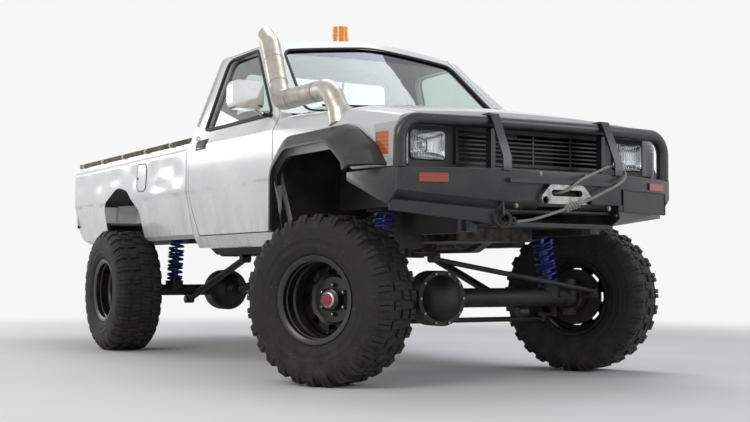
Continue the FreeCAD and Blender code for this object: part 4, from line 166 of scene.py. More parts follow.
def between(tree, axis, start, end, least=0.0, most=1.0):
    """A change from least to most between two stations on an axis, both in millimetres."""
    where = add(tree, "ShaderNodeTexCoord")
    split = add(tree, "ShaderNodeSeparateXYZ", {0: where.outputs["Object"]})
    return add(tree, "ShaderNodeMapRange", {"Value": split.outputs[axis], 1: start / 1000,
                                            2: end / 1000, 3: least, 4: most})


def stained(tree, shader, mask, base, stain, gloss=None):
    """A stain laid over a colour where a mask is; gloss gives the roughness off and on it."""
    colour = add(tree, "ShaderNodeMix", {0: mask, 6: base, 7: stain},
                 data_type="RGBA").outputs[2]
    fill(tree, shader, "Base Color", colour)
    if gloss:
        fill(tree, shader, "Roughness", add(tree, "ShaderNodeMapRange", {
            "Value": mask, 3: gloss[0], 4: gloss[1]}))
    return colour


def grained(tree, shader, depth, share, size, start=0.3, end=0.7, detail=2, stretch=(1, 1, 1)):
    """A grain of a real depth and size in millimetres, pressed into the surface."""
    relief = add(tree, "ShaderNodeBump", {
        "Height": blotches(tree, size, start, end, detail, stretch), "Distance": depth / 1000,
        "Strength": share})
    fill(tree, shader, "Normal", relief)
    return relief


print("pattern helpers ready")

# %% [markdown]
# ## White enamel that has worked for a living
#
# The body is sprayed steel: white solid enamel under a clear gloss. It gives wide pale
# reflections, and it is never one white. Yellow-brown dust lies along the sills, a darker
# yellow-brown band runs just under the waist crease, and fine scratches catch the light. The
# dust and the band are matt, so the same mask that tints the colour also raises the roughness.

# %% White enamel
enamel, tree, shader = surface("white body enamel, dusty", "#D6DADB", 0.3, Coat_Weight=0.6,
                               Coat_Roughness=0.12)
faded = stained(tree, shader, blotches(tree, 420, 0.35, 0.7, 3), "#CDD3D6", "#DDDFDE")
low_dust = between(tree, 2, 1030, 690, most=0.62)
streaks = blotches(tree, 70, 0.36, 0.72, 6, (1, 1, 0.28), most=low_dust)
# A darker yellow-brown band, matt and blotchy, runs just under the waist crease.
crease_high = between(tree, 2, 1034, 1022, most=between(tree, 2, 985, 1018))
under_crease_band = blotches(tree, 160, 0.4, 0.75, 5, (1, 1, 3), most=crease_high)
freckles = blotches(tree, 26, 0.62, 0.75, 7, most=blotches(tree, 300, 0.4, 0.7, most=0.3))
dirt = add(tree, "ShaderNodeMath", {0: streaks, 1: under_crease_band}, operation="MAXIMUM")
dust_and_crease_band = add(tree, "ShaderNodeMath", {0: dirt, 1: freckles}, operation="MAXIMUM")
stained(tree, shader, dust_and_crease_band, faded, "#B3A68E", gloss=(0.26, 0.72))
waves = grained(tree, shader, 0.5, 0.35, 260, 0.2, 0.8)
scratches = blotches(tree, 60, 0.66, 0.69, 3, (0.12, 0.12, 1.6))
grit = add(tree, "ShaderNodeMath", {0: dust_and_crease_band, 1: 0.4, 2: scratches},
           operation="MULTIPLY_ADD", use_clamp=True)
fill(tree, shader, "Normal", add(tree, "ShaderNodeBump", {
    "Height": grit, "Distance": 0.00012, "Strength": 0.3, "Normal": waves}))
print("enamel ready")

# %% [markdown]
# ## Sprayed paints
#
# Chassis paint is satin and always carries road film; the winch bar is a deeper blue-black
# powder coat whose upper edges are chipped to bare pale metal; the wheels are a glossier
# black sprayed over steel, and the springs are blue. One function serves them all, because
# only the colours, the gloss and how much dust lies on them differ.

# %% Sprayed paints


def sprayed(name, base, dust, amount, gloss, coat=0.0, chips=0.0, dust_size=90):
    """Paint over steel with a film of dust, and chips to pale metal."""
    material, tree, shader = surface(name, base, gloss, Coat_Weight=coat, Coat_Roughness=0.2)
    film = blotches(tree, dust_size, 0.35, 0.75, 6, most=amount)
    colour = stained(tree, shader, film, base, dust, gloss=(gloss, 0.85))
    if chips:
        worn = blotches(tree, 120, 0.4, 0.65, 3, most=chips)
        stained(tree, shader, blotches(tree, 7, 0.66, 0.7, 5, most=worn), colour, "#9A9C9C")
    grained(tree, shader, 0.1, 0.25, 2.2)
    return material


chassis_paint = sprayed("chassis paint, satin black", "#131313", "#5E5646", 0.22, 0.5)
bar_coat = sprayed("powder coat, blue-black", "#0E1118", "#5D5A55", 0.12, 0.36, 0.35, 0.7)
wheel_paint = sprayed("wheel paint, gloss black", "#0E0E0F", "#6A6050", 0.12, 0.32, 0.3, 0.25, 60)
winch_paint = sprayed("winch paint, satin black", "#17181A", "#6A6256", 0.25, 0.42)
spring_paint = sprayed("spring paint, blue", "#0F2C8C", "#5B5547", 0.3, 0.35, 0.3)
print("paints ready")

# %% [markdown]
# ## Rubber and plastics
#
# A mud tyre is matt, nearly black, and grey-brown where it meets the ground: dried dust
# fills the grooves and the lugs' edges are scuffed pale. The flares are grained moulded
# plastic which greys in the sun. Seals are plain soft rubber.

# %% Rubber and plastics
tyre_rubber, tree, shader = surface("tyre rubber, dusty", "#1C1B1A", 0.78)
powder = between(tree, 2, 260, 10, 0.035, 0.175)
colour = stained(tree, shader, blotches(tree, 55, 0.3, 0.75, 7, most=powder), "#171717", "#8A8070")
worn = blotches(tree, 90, 0.45, 0.65, 3, most=0.5)
scuffs = blotches(tree, 11, 0.6, 0.68, 4, (1, 1, 2.2), most=worn)
stained(tree, shader, scuffs, colour, "#77746F")
grained(tree, shader, 0.35, 0.4, 4, detail=5)


def moulded(name, base, grain, rough, sun="#4B4A47", amount=0.35, scale=1.6):
    """Moulded plastic or rubber with a fine grain, greyed in patches."""
    material, tree, shader = surface(name, base, rough)
    stained(tree, shader, blotches(tree, 110, 0.35, 0.75, 6, most=amount), base, sun)
    grained(tree, shader, grain, 0.4, scale, 0.35, 0.65)
    return material


flare_plastic = moulded("flare plastic, grained", "#1D1D1D", 0.25, 0.46)
grille_plastic = moulded("grille plastic, moulded", "#161616", 0.08, 0.36, "#3A3A38", 0.25)
seal_rubber = moulded("seal rubber", "#121212", 0.1, 0.62, "#2F2E2B", 0.3)
dash_vinyl = moulded("dashboard vinyl", "#2B2B2C", 0.3, 0.55, "#3A3937", 0.2, 2.5)
cab_lining = moulded("cab lining, grey", "#3E3F3F", 0.15, 0.8, "#5B5A55", 0.3)
handle_plastic = moulded("handle plastic, satin black", "#0B0B0C", 0.05, 0.5, "#2A2A2A", 0.15)
plate_black = moulded("blank plate, dark", "#18191C", 0.05, 0.38, "#34342F", 0.3)
wound_rope = moulded("wound winch rope, grey", "#6F6C64", 0.5, 0.85, "#4A463D", 0.6, 3)
print("rubber and plastics ready")

# %% [markdown]
# ## Glass and lenses
#
# Window glass is clear and faintly green. Lamp lenses are clear glass or dyed acrylic,
# fluted on the inside so that the bulb is smeared into bright lines. Dyed lenses are drawn as
# deep glossy plastic with a little light let through, and with painted shade in bands along
# their flutes.

# %% Glass and lenses


def glass(name, base, rough):
    """Clear or dyed glass with a thin film of dirt on it."""
    material, tree, shader = surface(name, base, rough, Transmission_Weight=1.0, IOR=1.5)
    film = blotches(tree, 130, 0.3, 0.8, 6)
    fill(tree, shader, "Roughness", add(tree, "ShaderNodeMapRange", {
        "Value": film, 3: rough, 4: rough + 0.03}))
    return material, tree, shader


window_glass = glass("window glass, faintly green", "#DCE9E4", 0.0)[0]
tint_glass = glass("tinted band in the windscreen", "#4F6FA6", 0.02)[0]
lens_glass, tree, shader = glass("lamp glass, clear and fluted", "#F4F7F8", 0.02)
# A wave texture has a band each 314 mm at a scale of 1, so these flutes are 14 mm apart.
flutes = add(tree, "ShaderNodeTexWave", {"Vector": place(tree), "Scale": 22.0},
             bands_direction="Y").outputs[1]
fill(tree, shader, "Normal", add(tree, "ShaderNodeBump", {
    "Height": flutes, "Distance": 0.0012, "Strength": 0.55}))


def dyed(name, base, flute, glow=0.35, painted_shade="#3A0F05"):
    """Dyed acrylic, deep and glossy; ribs and grooves a flute wide, with painted shade in bands.
    """
    material, tree, shader = surface(name, base, 0.14, Coat_Weight=0.8, Coat_Roughness=0.03,
                                     Transmission_Weight=glow, IOR=1.49)
    ribs = add(tree, "ShaderNodeTexWave", {"Vector": place(tree), "Scale": 1000 / flute / 6.28},
               bands_direction="Z").outputs[1]
    # Painted shade: the colour darkens towards the shade colour in bands along the flutes.
    mask = add(tree, "ShaderNodeMath", {0: ribs, 1: 0.3}, operation="MULTIPLY")
    stained(tree, shader, mask, base, painted_shade)
    fill(tree, shader, "Normal", add(tree, "ShaderNodeBump", {
        "Height": ribs, "Distance": 0.001, "Strength": 0.5}))
    return material


amber_lens = dyed("indicator acrylic, amber", "#E8700F", 9)
dull_amber = dyed("marker acrylic, dull red-orange", "#B23A17", 8, 0.15)
red_lens = dyed("tail lamp acrylic, red", "#9C1512", 10, 0.2)
beacon_lens = dyed("beacon acrylic, orange", "#FFA808", 11, 0.45, "#D95A0A")
clear_acrylic = dyed("lamp acrylic, clear", "#D5DADC", 9, 0.35, "#C3C9CC")
print("glass ready")

# %% [markdown]
# ## Bare metals
#
# The intake pipe is brushed stainless: fine lines run round it, and its welds are duller.
# Chrome, zinc, cast alloy and a heat-stained exhaust differ in base colour and in how broken
# their shine is, so one function makes them all; raw cast iron and the lamps' silver have
# their own few lines. A metal keeps the default IOR.

# %% Bare metals


def bare_metal(name, base, stain, rough, grain=60, amount=0.4, stretch=(1, 1, 1), lines=0.0):
    """Uncoated metal whose shine is broken by stains and, if asked for, brushed lines."""
    material, tree, shader = surface(name, base, rough, Metallic=1.0)
    film = blotches(tree, grain, 0.35, 0.75, 6, most=amount)
    stained(tree, shader, film, base, stain, gloss=(rough, min(1, rough + 0.3)))
    grained(tree, shader, lines or 0.06, 0.35, 1.5 if lines else 3, detail=3, stretch=stretch)
    return material


stainless = bare_metal("stainless steel, brushed", "#B9B6AE", "#8E8474", 0.3, 70, 0.5,
                       (0.08, 0.08, 1.0), 0.05)
bright_steel = bare_metal("bare steel, oiled", "#8F8F8C", "#4B463C", 0.38)
dark_steel = bare_metal("forged steel, dark", "#3A3A3A", "#5A4A38", 0.5)
chrome = bare_metal("chrome plate", "#E4E6E8", "#9B9890", 0.06, 90, 0.25)
zinc = bare_metal("zinc-plated nuts", "#C9C9C4", "#8D897E", 0.24, 25, 0.5)
cast_alloy = bare_metal("cast alloy, scuffed", "#A9ABAC", "#6F6A60", 0.42, 30, 0.6)
exhaust_steel = bare_metal("exhaust steel, heat-stained", "#6F665B", "#3A2C20", 0.45, 50, 0.8)
cast_iron, tree, shader = surface("cast iron, oily", "#2E2A27", 0.6, Metallic=0.5)
stained(tree, shader, blotches(tree, 40, 0.35, 0.7, 6), "#2A2725", "#5C5142")
grained(tree, shader, 0.5, 0.5, 4, detail=4)
mirror_glass = bare_metal("mirror glass, silvered", "#DDE2E6", "#B8B8B4", 0.02, 120, 0.15)
reflector, tree, shader = surface("lamp reflector, silvered", "#DADDDF", 0.12, Metallic=1.0)
grained(tree, shader, 0.4, 0.2, 30, 0.2, 0.8, 1)
hub_red, tree, shader = surface("hub cap paint, red", "#A3171A", 0.3, Coat_Weight=0.5,
                                Coat_Roughness=0.1)
stained(tree, shader, blotches(tree, 20, 0.5, 0.7, 5), "#A3171A", "#5F2A20")
print("metals ready")

# %% [markdown]
# ## Cloth and rope
#
# The bench is covered in a dark plain weave. Threads about 1 mm apart would vanish at this
# distance, so the weave is drawn at 3 mm. The winch rope is a grey braid of synthetic fibre:
# its pattern follows the rope by UV, with u round it and v along it. Its strands carry a
# painted highlight and the grooves between them painted shade.

# %% Cloth and rope
seat_cloth, tree, shader = surface("seat cloth, dark plain weave", "#26272A", 0.9,
                                   Sheen_Weight=0.3, Sheen_Roughness=0.5)
weave = add(tree, "ShaderNodeTexChecker", {"Vector": place(tree), "Scale": 1000 / 3.0}).outputs[1]
stained(tree, shader, weave, "#2B2C30", "#1B1C1E")
fill(tree, shader, "Normal", add(tree, "ShaderNodeBump", {
    "Height": weave, "Distance": 0.0005, "Strength": 0.5}))

rope_braid, tree, shader = surface("winch rope, grey braid", "#8A8881", 0.85, Sheen_Weight=0.2)
along = add(tree, "ShaderNodeUVMap", uv_map="braid")


def strands(lean):
    """One hand of the braid: stripes that lean across the rope's UV map."""
    turned = add(tree, "ShaderNodeMapping", {"Vector": along, "Rotation": (0, 0, lean)})
    return add(tree, "ShaderNodeTexWave", {"Vector": turned, "Scale": 1.6},
               bands_direction="X").outputs[1]


braid = add(tree, "ShaderNodeMath", {
    0: strands(math.radians(45)), 1: strands(math.radians(-45))}, operation="MAXIMUM")
# Painted highlight on the braid's strands and painted shade in the grooves between them.
painted_shade = stained(tree, shader, braid, "#514F4A", "#A5A39B")
stained(tree, shader, blotches(tree, 60, 0.4, 0.7, most=0.5), painted_shade, "#6A5F4C")
fill(tree, shader, "Normal", add(tree, "ShaderNodeBump", {
    "Height": braid, "Distance": 0.0008, "Strength": 0.7}))
print("cloth and rope ready;", len(bpy.data.materials), "materials so far")

# %% [markdown]
# ## Dressing the CAD pieces
#
# A CAD piece arrives as loose triangles. To finish one, its mesh is copied, its doubles are
# merged, a small rounding is put on the edges a press or a mould would round, and it is
# shaded smooth up to the angle where a real edge starts. `choose` picks the finish of each
# face from where it lies, so that one pressing can be enamel outside and lining inside.

# %% The dressing helper


def finished(name, mesh, body, smooth=32):
    """A new piece of the object from a mesh whose places are already true."""
    mesh.shade_smooth()
    mesh.set_sharp_from_angle(angle=math.radians(smooth))
    piece = in_scene(name, mesh)
    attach(piece, body)
    return piece


def baked(holder):
    """The mesh that an object shows once its modifiers have run; the object goes."""
    mesh = bpy.data.meshes.new_from_object(
        holder.evaluated_get(bpy.context.evaluated_depsgraph_get()))
    bpy.data.objects.remove(holder)
    return mesh


def evaluated(name, mesh, modifiers):
    """A mesh with the modifiers' work in it, and no modifier left."""
    holder = in_scene(name, mesh)
    for kind, settings in modifiers:
        modifier = holder.modifiers.new(kind.lower(), kind)
        for key, value in settings.items():
            setattr(modifier, key, value)
    result = baked(holder)
    result.name = name
    return result


def reshaped(mesh, change):
    """Opens a mesh for editing, changes it and writes it back."""
    shape = bmesh.new()
    shape.from_mesh(mesh)
    change(shape)
    shape.to_mesh(mesh)
    shape.free()
    return mesh


def bare_copy(node, name):
    """A clean copy of a CAD piece's mesh, with its doubles merged."""
    source = frame["nodes"][node].data
    mesh = bpy.data.meshes.new(name)
    mesh.from_pydata([v.co for v in source.vertices], [],
                     [tuple(p.vertices) for p in source.polygons])
    return reshaped(mesh, lambda shape: bmesh.ops.remove_doubles(
        shape, verts=shape.verts, dist=0.00003))


def rounded(mesh, width):
    """The mesh with its sharp edges rounded by a width in metres."""
    reshaped(mesh, lambda shape: bmesh.ops.dissolve_limit(
        shape, angle_limit=math.radians(1.5), verts=shape.verts, edges=shape.edges))
    return evaluated(mesh.name, mesh, [("BEVEL", {
        "width": width, "segments": 2, "limit_method": "ANGLE",
        "angle_limit": math.radians(38), "use_clamp_overlap": True,
        "harden_normals": False})])


def scored(mesh, planes):
    """The mesh cut along planes, given as (point, normal), with nothing taken away."""
    def cut(shape):
        for point, normal in planes:
            bmesh.ops.bisect_plane(shape, geom=shape.verts[:] + shape.edges[:] + shape.faces[:],
                                   plane_co=point, plane_no=normal, dist=0.0001)
    return reshaped(mesh, cut)


def painted(mesh, materials, choose=None):
    """A mesh with its finishes; choose picks the finish of each face."""
    for material in materials:
        mesh.materials.append(material)
    if choose:
        for face in mesh.polygons:
            face.material_index = choose(face.center, face.normal)
    return mesh


def dress(node, slot, *materials, choose=None, smooth=32, bevel=0.0, planes=()):
    """A finished copy of a CAD piece that stands for it, scored where its colours change."""
    name = node + "_finished"
    mesh = bare_copy(node, name)
    if planes:
        mesh = scored(mesh, planes)
    if bevel:
        mesh = rounded(mesh, bevel)
    piece = finished(name, painted(mesh, materials, choose), frame["nodes"][node]["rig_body"],
                     smooth)
    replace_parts(piece, node)
    return piece


print(len(frame["nodes"]), "CAD pieces to dress")

# %% [markdown]
# ## Body panels
#
# The cab, doors, wings, bonnet, front panel and tub are pressed steel, painted after
# assembly. Faces that look into the cab are trimmed with lining, and the recess behind the
# bar, around the lamps and the grille, is black.

# %% Cab, wings, bonnet and tub
CAB_MIDDLE = behind(1150, 0, 1350)
BULKHEAD, BULKHEAD_TOP, LINED_BEHIND = FRONT - 0.62, 1.2, FRONT - 0.47
FRAME_TOP, FRAME_HALF, PANEL_BACK = 1.235, 0.7, FRONT + 0.43


def cab_finish(centre, normal):
    """Lining facing the cab's middle, black painted shade on the bulkhead's front, else enamel."""
    # Black here is painted shade: the bulkhead's front is enamel, dark only deep under the bonnet.
    if centre.x > BULKHEAD and centre.z < BULKHEAD_TOP and normal.x > 0.5:
        return 2
    inward = (CAB_MIDDLE - centre).normalized().dot(normal)
    return 1 if inward > 0.3 and centre.x < LINED_BEHIND else 0


def door_finish(centre, normal):
    """Lining on the side of a door that faces the cab."""
    return 1 if normal.y * centre.y < 0 and abs(normal.y) > 0.5 else 0


def wing_finish(centre, normal):
    """Underseal on the side of a wing that faces its wheel."""
    return 1 if normal.y * centre.y < 0 or normal.z < -0.3 else 0


def front_finish(centre, normal):
    """The front panel is black where it frames the lamps and the grille, and at its back."""
    framing = centre.z < FRAME_TOP and abs(centre.y) < FRAME_HALF
    return 1 if framing or centre.x < PANEL_BACK else 0


dress("cab_shell", "body_paint", enamel, cab_lining, chassis_paint, choose=cab_finish)
for node in ("door_right", "door_left"):
    dress(node, "body_paint", enamel, cab_lining, choose=door_finish)
for node in ("bonnet", "tailgate"):
    dress(node, "body_paint", enamel)
for node in ("wing_right", "wing_left"):
    dress(node, "body_paint", enamel, chassis_paint, choose=wing_finish)
dress("front_panel", "body_paint", enamel, grille_plastic, choose=front_finish)
dress("wheel_flares", "flare_plastic", flare_plastic, smooth=58)
dress("grille", "grille_plastic", grille_plastic)
print("panels dressed")

# %% [markdown]
# ## Chassis, axles and steering
#
# Most of what hangs under the body is painted black over rolled or cast steel, with road
# film on it. The knuckles, engine and gearbox are raw cast iron, the dampers' rods are bare
# steel, and the exhaust is stained by its own heat.

# %% What hangs below the body
for node in ("chassis_frame", "front_axle", "rear_axle", "fuel_tank", "propeller_shafts",
             "suspension_links", "tie_rod", "drag_link", "pitman_arm"):
    dress(node, "frame_black", chassis_paint)
for node in ("knuckle_right", "knuckle_left", "engine_and_gearbox"):
    dress(node, "cast_iron", cast_iron)
dress("radiator", "alloy", dark_steel)
dress("exhaust", "exhaust_steel", exhaust_steel)

SPRINGS, ROD = [], 0.012
for side in (-1, 1):
    SPRINGS.append((mm(FRONT * 1000, side * 545, 471), mm(FRONT * 1000, side * 475, 836)))
    SPRINGS.append((mm(REAR * 1000, side * 476, 471), mm(REAR * 1000, side * 458, 800)))


def spring_finish(centre, normal):
    """Blue coils and damper bodies; the damper's rod is bright steel."""
    nearest = 1.0
    for foot, head in SPRINGS:
        axis = (head - foot).normalized()
        away = centre - foot
        nearest = min(nearest, (away - axis * away.dot(axis)).length)
    return 1 if nearest < ROD else 0


dress("springs_and_dampers", "spring_blue", spring_paint, bright_steel, choose=spring_finish)
print("underside dressed")

# %% [markdown]
# ## Window glass
#
# Each pane is a real sheet with two faces, so light bends in and out of it correctly. The
# windscreen has a band along its top edge that is dyed blue.

# %% Panes
for node in ("door_glass_right", "door_glass_left", "rear_window"):
    dress(node, "glass", window_glass)
TINT_FROM = 1.765
dress("windscreen", "glass", window_glass, tint_glass, planes=[((0, 0, TINT_FROM), (0, 0, 1))],
      choose=lambda centre, normal: 1 if centre.z > TINT_FROM else 0)
print("panes dressed")

# %% [markdown]
# ## Turning, sweeping and casting shapes
#
# A lathe makes anything round about an axle, a sweep makes bars and pipes, and a prism makes
# plates. Each helper returns a bmesh, Blender's editable mesh, and `merged` casts several of
# them into one mesh, each with its own finish.

# %% Shape helpers


def bridged(shape, rings, closed=False):
    """Faces between rings of points; a ring may be a single point."""
    count = max(len(ring) for ring in rings)
    for first, second in zip(rings, rings[1:] + (rings[:1] if closed else [])):
        for k in range(count):
            n = (k + 1) % count
            corners = dict.fromkeys((first[k % len(first)], first[n % len(first)],
                                     second[n % len(second)], second[k % len(second)]))
            if len(corners) > 2:
                shape.faces.new(list(corners))


def lathe(profile, segments=64, closed=False):
    """A surface turned about the local Y axis from (radius, along) points in millimetres."""
    shape = bmesh.new()
    rings = []
    for radius, along in profile:
        rings.append([shape.verts.new((
            radius / 1000 * math.cos(math.tau * k / segments), along / 1000,
            radius / 1000 * math.sin(math.tau * k / segments)))
            for k in range(segments if radius else 1)])
    bridged(shape, rings, closed)
    bmesh.ops.recalc_face_normals(shape, faces=shape.faces)
    return shape


def block(low, high):
    """A box between two corners in millimetres."""
    shape = bmesh.new()
    bmesh.ops.create_cube(shape, size=1)
    low, high = mm(*low), mm(*high)
    for vert in shape.verts:
        vert.co = Vector(low[i] if vert.co[i] < 0 else high[i] for i in range(3))
    return shape


def prism(corners, along):
    """A plate: flat corners in metres, carried along a vector."""
    shape = bmesh.new()
    first = [shape.verts.new(corner) for corner in corners]
    second = [shape.verts.new(Vector(corner) + Vector(along)) for corner in corners]
    shape.faces.new(first)
    shape.faces.new(second[::-1])
    for k in range(len(corners)):
        n = (k + 1) % len(corners)
        shape.faces.new((first[n], first[k], second[k], second[n]))
    bmesh.ops.recalc_face_normals(shape, faces=shape.faces)
    return shape


def sweep(points, radius, sides=12, closed=False, flat=1.0):
    """A bar along points in metres; flat squeezes its section."""
    shape = bmesh.new()
    points = [Vector(p) for p in points]
    count = len(points)
    rings = []
    normal = None
    for i, point in enumerate(points):
        ahead = points[(i + 1) % count] if closed or i + 1 < count else point
        back = points[i - 1] if closed or i > 0 else point
        tangent = (ahead - back).normalized()
        if normal is None:
            seed = Vector((0, 0, 1)) if abs(tangent.z) < 0.9 else Vector((1, 0, 0))
            normal = tangent.cross(seed).normalized()
        normal = (normal - tangent * normal.dot(tangent)).normalized()
        side = tangent.cross(normal)
        rings.append([shape.verts.new(
            point + radius * (normal * math.cos(math.tau * k / sides)
                              + side * flat * math.sin(math.tau * k / sides)))
            for k in range(sides)])
    bridged(shape, rings, closed)
    if not closed:
        shape.faces.new(rings[0])
        shape.faces.new(rings[-1])
    bmesh.ops.recalc_face_normals(shape, faces=shape.faces)
    return shape


def as_mesh(shape, name="part"):
    """A bmesh turned into a mesh, so that modifiers and node trees can use it."""
    mesh = bpy.data.meshes.new(name)
    shape.to_mesh(mesh)
    shape.free()
    return mesh


def merged(name, parts, matrix=None):
    """One mesh from several parts, each given with its finish, or with None to keep its own."""
    whole = bmesh.new()
    finishes = []
    for part, finish in parts:
        mesh = as_mesh(part) if isinstance(part, bmesh.types.BMesh) else part
        own = [finish] if finish else list(mesh.materials)
        finishes += [one for one in own if one not in finishes]
        first = len(whole.faces)
        whole.from_mesh(mesh)
        whole.faces.ensure_lookup_table()
        for face in whole.faces[first:]:
            face.material_index = finishes.index(own[0 if finish else face.material_index])
    if matrix is not None:
        bmesh.ops.transform(whole, matrix=matrix, verts=whole.verts)
    mesh = as_mesh(whole, name)
    for finish in finishes:
        mesh.materials.append(finish)
    return mesh


def softened(shape, width, segments=2):
    """A shape with all its sharp edges rounded, as a mesh; width is in millimetres."""
    return evaluated("soft", as_mesh(shape), [("BEVEL", {
        "width": width / 1000, "segments": segments, "limit_method": "ANGLE",
        "angle_limit": math.radians(30), "use_clamp_overlap": True})])


print("shape helpers ready")

# %% [markdown]
# ## A tree that sets copies round an axle
#
# Lugs, wheel nuts, bolts on a cover and teeth on a ring all follow one rule: the same piece,
# turned about an axle in equal steps. The Geometry Nodes tree below takes the piece, the
# count and the first angle. All its points sit on the axle, and only their turn differs,
# because the piece is modelled at its true distance. The instances are realized at the end,
# so that the result is a plain mesh.

# %% Copies round an axle


def new_tree(name, sockets):
    """An empty Geometry Nodes tree with named inputs."""
    tree = bpy.data.node_groups.new(name, "GeometryNodeTree")
    for title, kind, start in sockets:
        socket = tree.interface.new_socket(title, in_out="INPUT", socket_type=kind)
        if start is not None:
            socket.default_value = start
    tree.interface.new_socket("Geometry", in_out="OUTPUT", socket_type="NodeSocketGeometry")
    return tree, add(tree, "NodeGroupInput")


def close_tree(tree, group, points, rotation=None):
    """Instances of the tree's Piece on points, realized and given the tree's Finish."""
    piece = add(tree, "GeometryNodeObjectInfo", {"Object": group.outputs["Piece"]})
    inputs = {"Points": points, "Instance": piece.outputs["Geometry"]}
    if rotation is not None:
        inputs["Rotation"] = rotation
    copies = add(tree, "GeometryNodeInstanceOnPoints", inputs)
    real = add(tree, "GeometryNodeRealizeInstances", {0: copies})
    painted_copies = add(tree, "GeometryNodeSetMaterial", {
        0: real, "Material": group.outputs["Finish"]})
    add(tree, "NodeGroupOutput", {0: painted_copies})


round_tree, group = new_tree("copies round an axle", (
    ("Piece", "NodeSocketObject", None), ("Count", "NodeSocketInt", 6),
    ("Phase", "NodeSocketFloat", 0.0), ("Finish", "NodeSocketMaterial", None)))
points = add(round_tree, "GeometryNodePoints", {"Count": group.outputs["Count"]})
step = add(round_tree, "ShaderNodeMath", {0: math.tau, 1: group.outputs["Count"]},
           operation="DIVIDE")
index = add(round_tree, "GeometryNodeInputIndex")
angle = add(round_tree, "ShaderNodeMath", {0: index, 1: step, 2: group.outputs["Phase"]},
            operation="MULTIPLY_ADD")
spin = add(round_tree, "FunctionNodeAxisAngleToRotation", {"Axis": (0, 1, 0), "Angle": angle})
close_tree(round_tree, group, points, spin)


def grown(tree, piece, **inputs):
    """Runs a tree on a piece and returns the result as a plain mesh."""
    source = in_scene("pattern piece", piece)
    holder = in_scene("grown", bpy.data.meshes.new("grown"))
    modifier = holder.modifiers.new("tree", "NODES")
    modifier.node_group = tree
    inputs["Piece"] = source
    for item in tree.interface.items_tree:
        if item.in_out == "INPUT" and item.name in inputs:
            modifier[item.identifier] = inputs[item.name]
    mesh = baked(holder)
    bpy.data.objects.remove(source)
    return mesh


print("tree inputs:", [i.name for i in round_tree.interface.items_tree])

# %% [markdown]
# ## Mud tyres
#
# The carcass is moulded in one turn: bead, rim protector, fine circular ribs, a full sidewall
# and a nearly flat crown. Four rows of 28 lugs stand on it. The outer ones wrap on to the
# sidewall and are what the eye reads first, so both kinds get rounded edges and a cut across
# the top, as the blades in a real mould leave.

# %% Tyre pieces
TYRE = 405.0
LUGS, LUG_LONG, GROOVE = 28, 52.0, 392.0
CROWN_HALF, SIDE_HALF = 138.0, 159.0

half_profile = [
    (191, 120), (192, 127), (209, 127.6), (213, 133), (221, 140), (231, 145.5), (243, 149.5),
    (251, 153.6), (256, 154.2), (261, 152.6), (272, 155), (284, 157), (286.5, 158.4), (291, 158.3),
    (293, 157.4), (305, 158.6), (318, 158.2), (332, 155.6), (336, 156.2), (341, 154.9),
    (352, 150.5), (361, 146), (371, 138), (381, 129), (388, 121), (391.5, 112), (392, 60)]
carcass = lathe([(r, -y) for r, y in half_profile] + half_profile[::-1], 112, closed=True)


def lug_pieces(hand):
    """A shoulder lug and a middle block of one side, in the tyre's own axes."""
    half, top = LUG_LONG / 2, math.sqrt(TYRE ** 2 - (LUG_LONG / 2) ** 2)
    wrap = [(GROOVE - 6, CROWN_HALF - 58), (top, CROWN_HALF - 58), (top, CROWN_HALF - 17),
            (TYRE - 33, SIDE_HALF - 10.5), (TYRE - 70, SIDE_HALF - 3.2),
            (TYRE - 75, SIDE_HALF - 14), (GROOVE - 20, SIDE_HALF - 34)]
    shoulder = prism([mm(r, hand * y, -half + 2) for r, y in wrap], mm(0, 0, LUG_LONG - 4))
    cut = prism([mm(r, hand * y, -1.8) for r, y in (
        (TYRE - 5, CROWN_HALF - 70), (TYRE + 8, CROWN_HALF - 70), (TYRE + 8, CROWN_HALF),
        (TYRE - 30, SIDE_HALF - 2), (TYRE - 36, SIDE_HALF - 12))], mm(0, 0, 3.6))
    foot = [(8, 2 - half), (CROWN_HALF - 76, 9 - half), (CROWN_HALF - 76, half - 2),
            (8, half - 9)]
    middle = prism([mm(GROOVE - 6, hand * y, z) for y, z in foot], mm(top - GROOVE + 6, 0, 0))
    slot = prism([mm(TYRE - 6, hand * y, z) for y, z in (
        (3, -4), (CROWN_HALF - 70, 3), (CROWN_HALF - 70, 7), (3, 0))], mm(20, 0, 0))
    return [(shoulder, cut), (middle, slot)]


def with_cut(solid, tool):
    """A solid with a tool's shape taken out of it and its edges rounded."""
    tool_object = in_scene("tool", as_mesh(tool))
    mesh = evaluated("cut", as_mesh(solid), [
        ("BOOLEAN", {"operation": "DIFFERENCE", "object": tool_object, "solver": "EXACT"}),
        ("BEVEL", {"width": 0.0018, "segments": 1, "limit_method": "ANGLE",
                   "angle_limit": math.radians(35), "use_clamp_overlap": True})])
    bpy.data.objects.remove(tool_object)
    return mesh


tread = []
tip_turn = math.asin(LUG_LONG / 2 / TYRE)
for hand in (-1, 1):
    for solid, tool in lug_pieces(hand):
        phase = math.pi / 2 + (hand / 4 + 0.25) * math.tau / LUGS + tip_turn
        tread.append(grown(round_tree, with_cut(solid, tool), Count=LUGS, Phase=phase,
                           Finish=tyre_rubber))
tyre_mesh = merged("tyre", [(carcass, tyre_rubber)] + [(rows, tyre_rubber) for rows in tread])
print("one tyre has", len(tyre_mesh.polygons), "faces")

# %% [markdown]
# ## Wheels, hubs and brakes
#
# The wheels are pressed steel, sprayed black: a deep dish with eight windows, six zinc nuts
# and a stud's end in each, and a red centre cap inside a bright serrated ring, which is the
# dial of a locking hub. The CAD rim keeps its form; what is added stands on it.

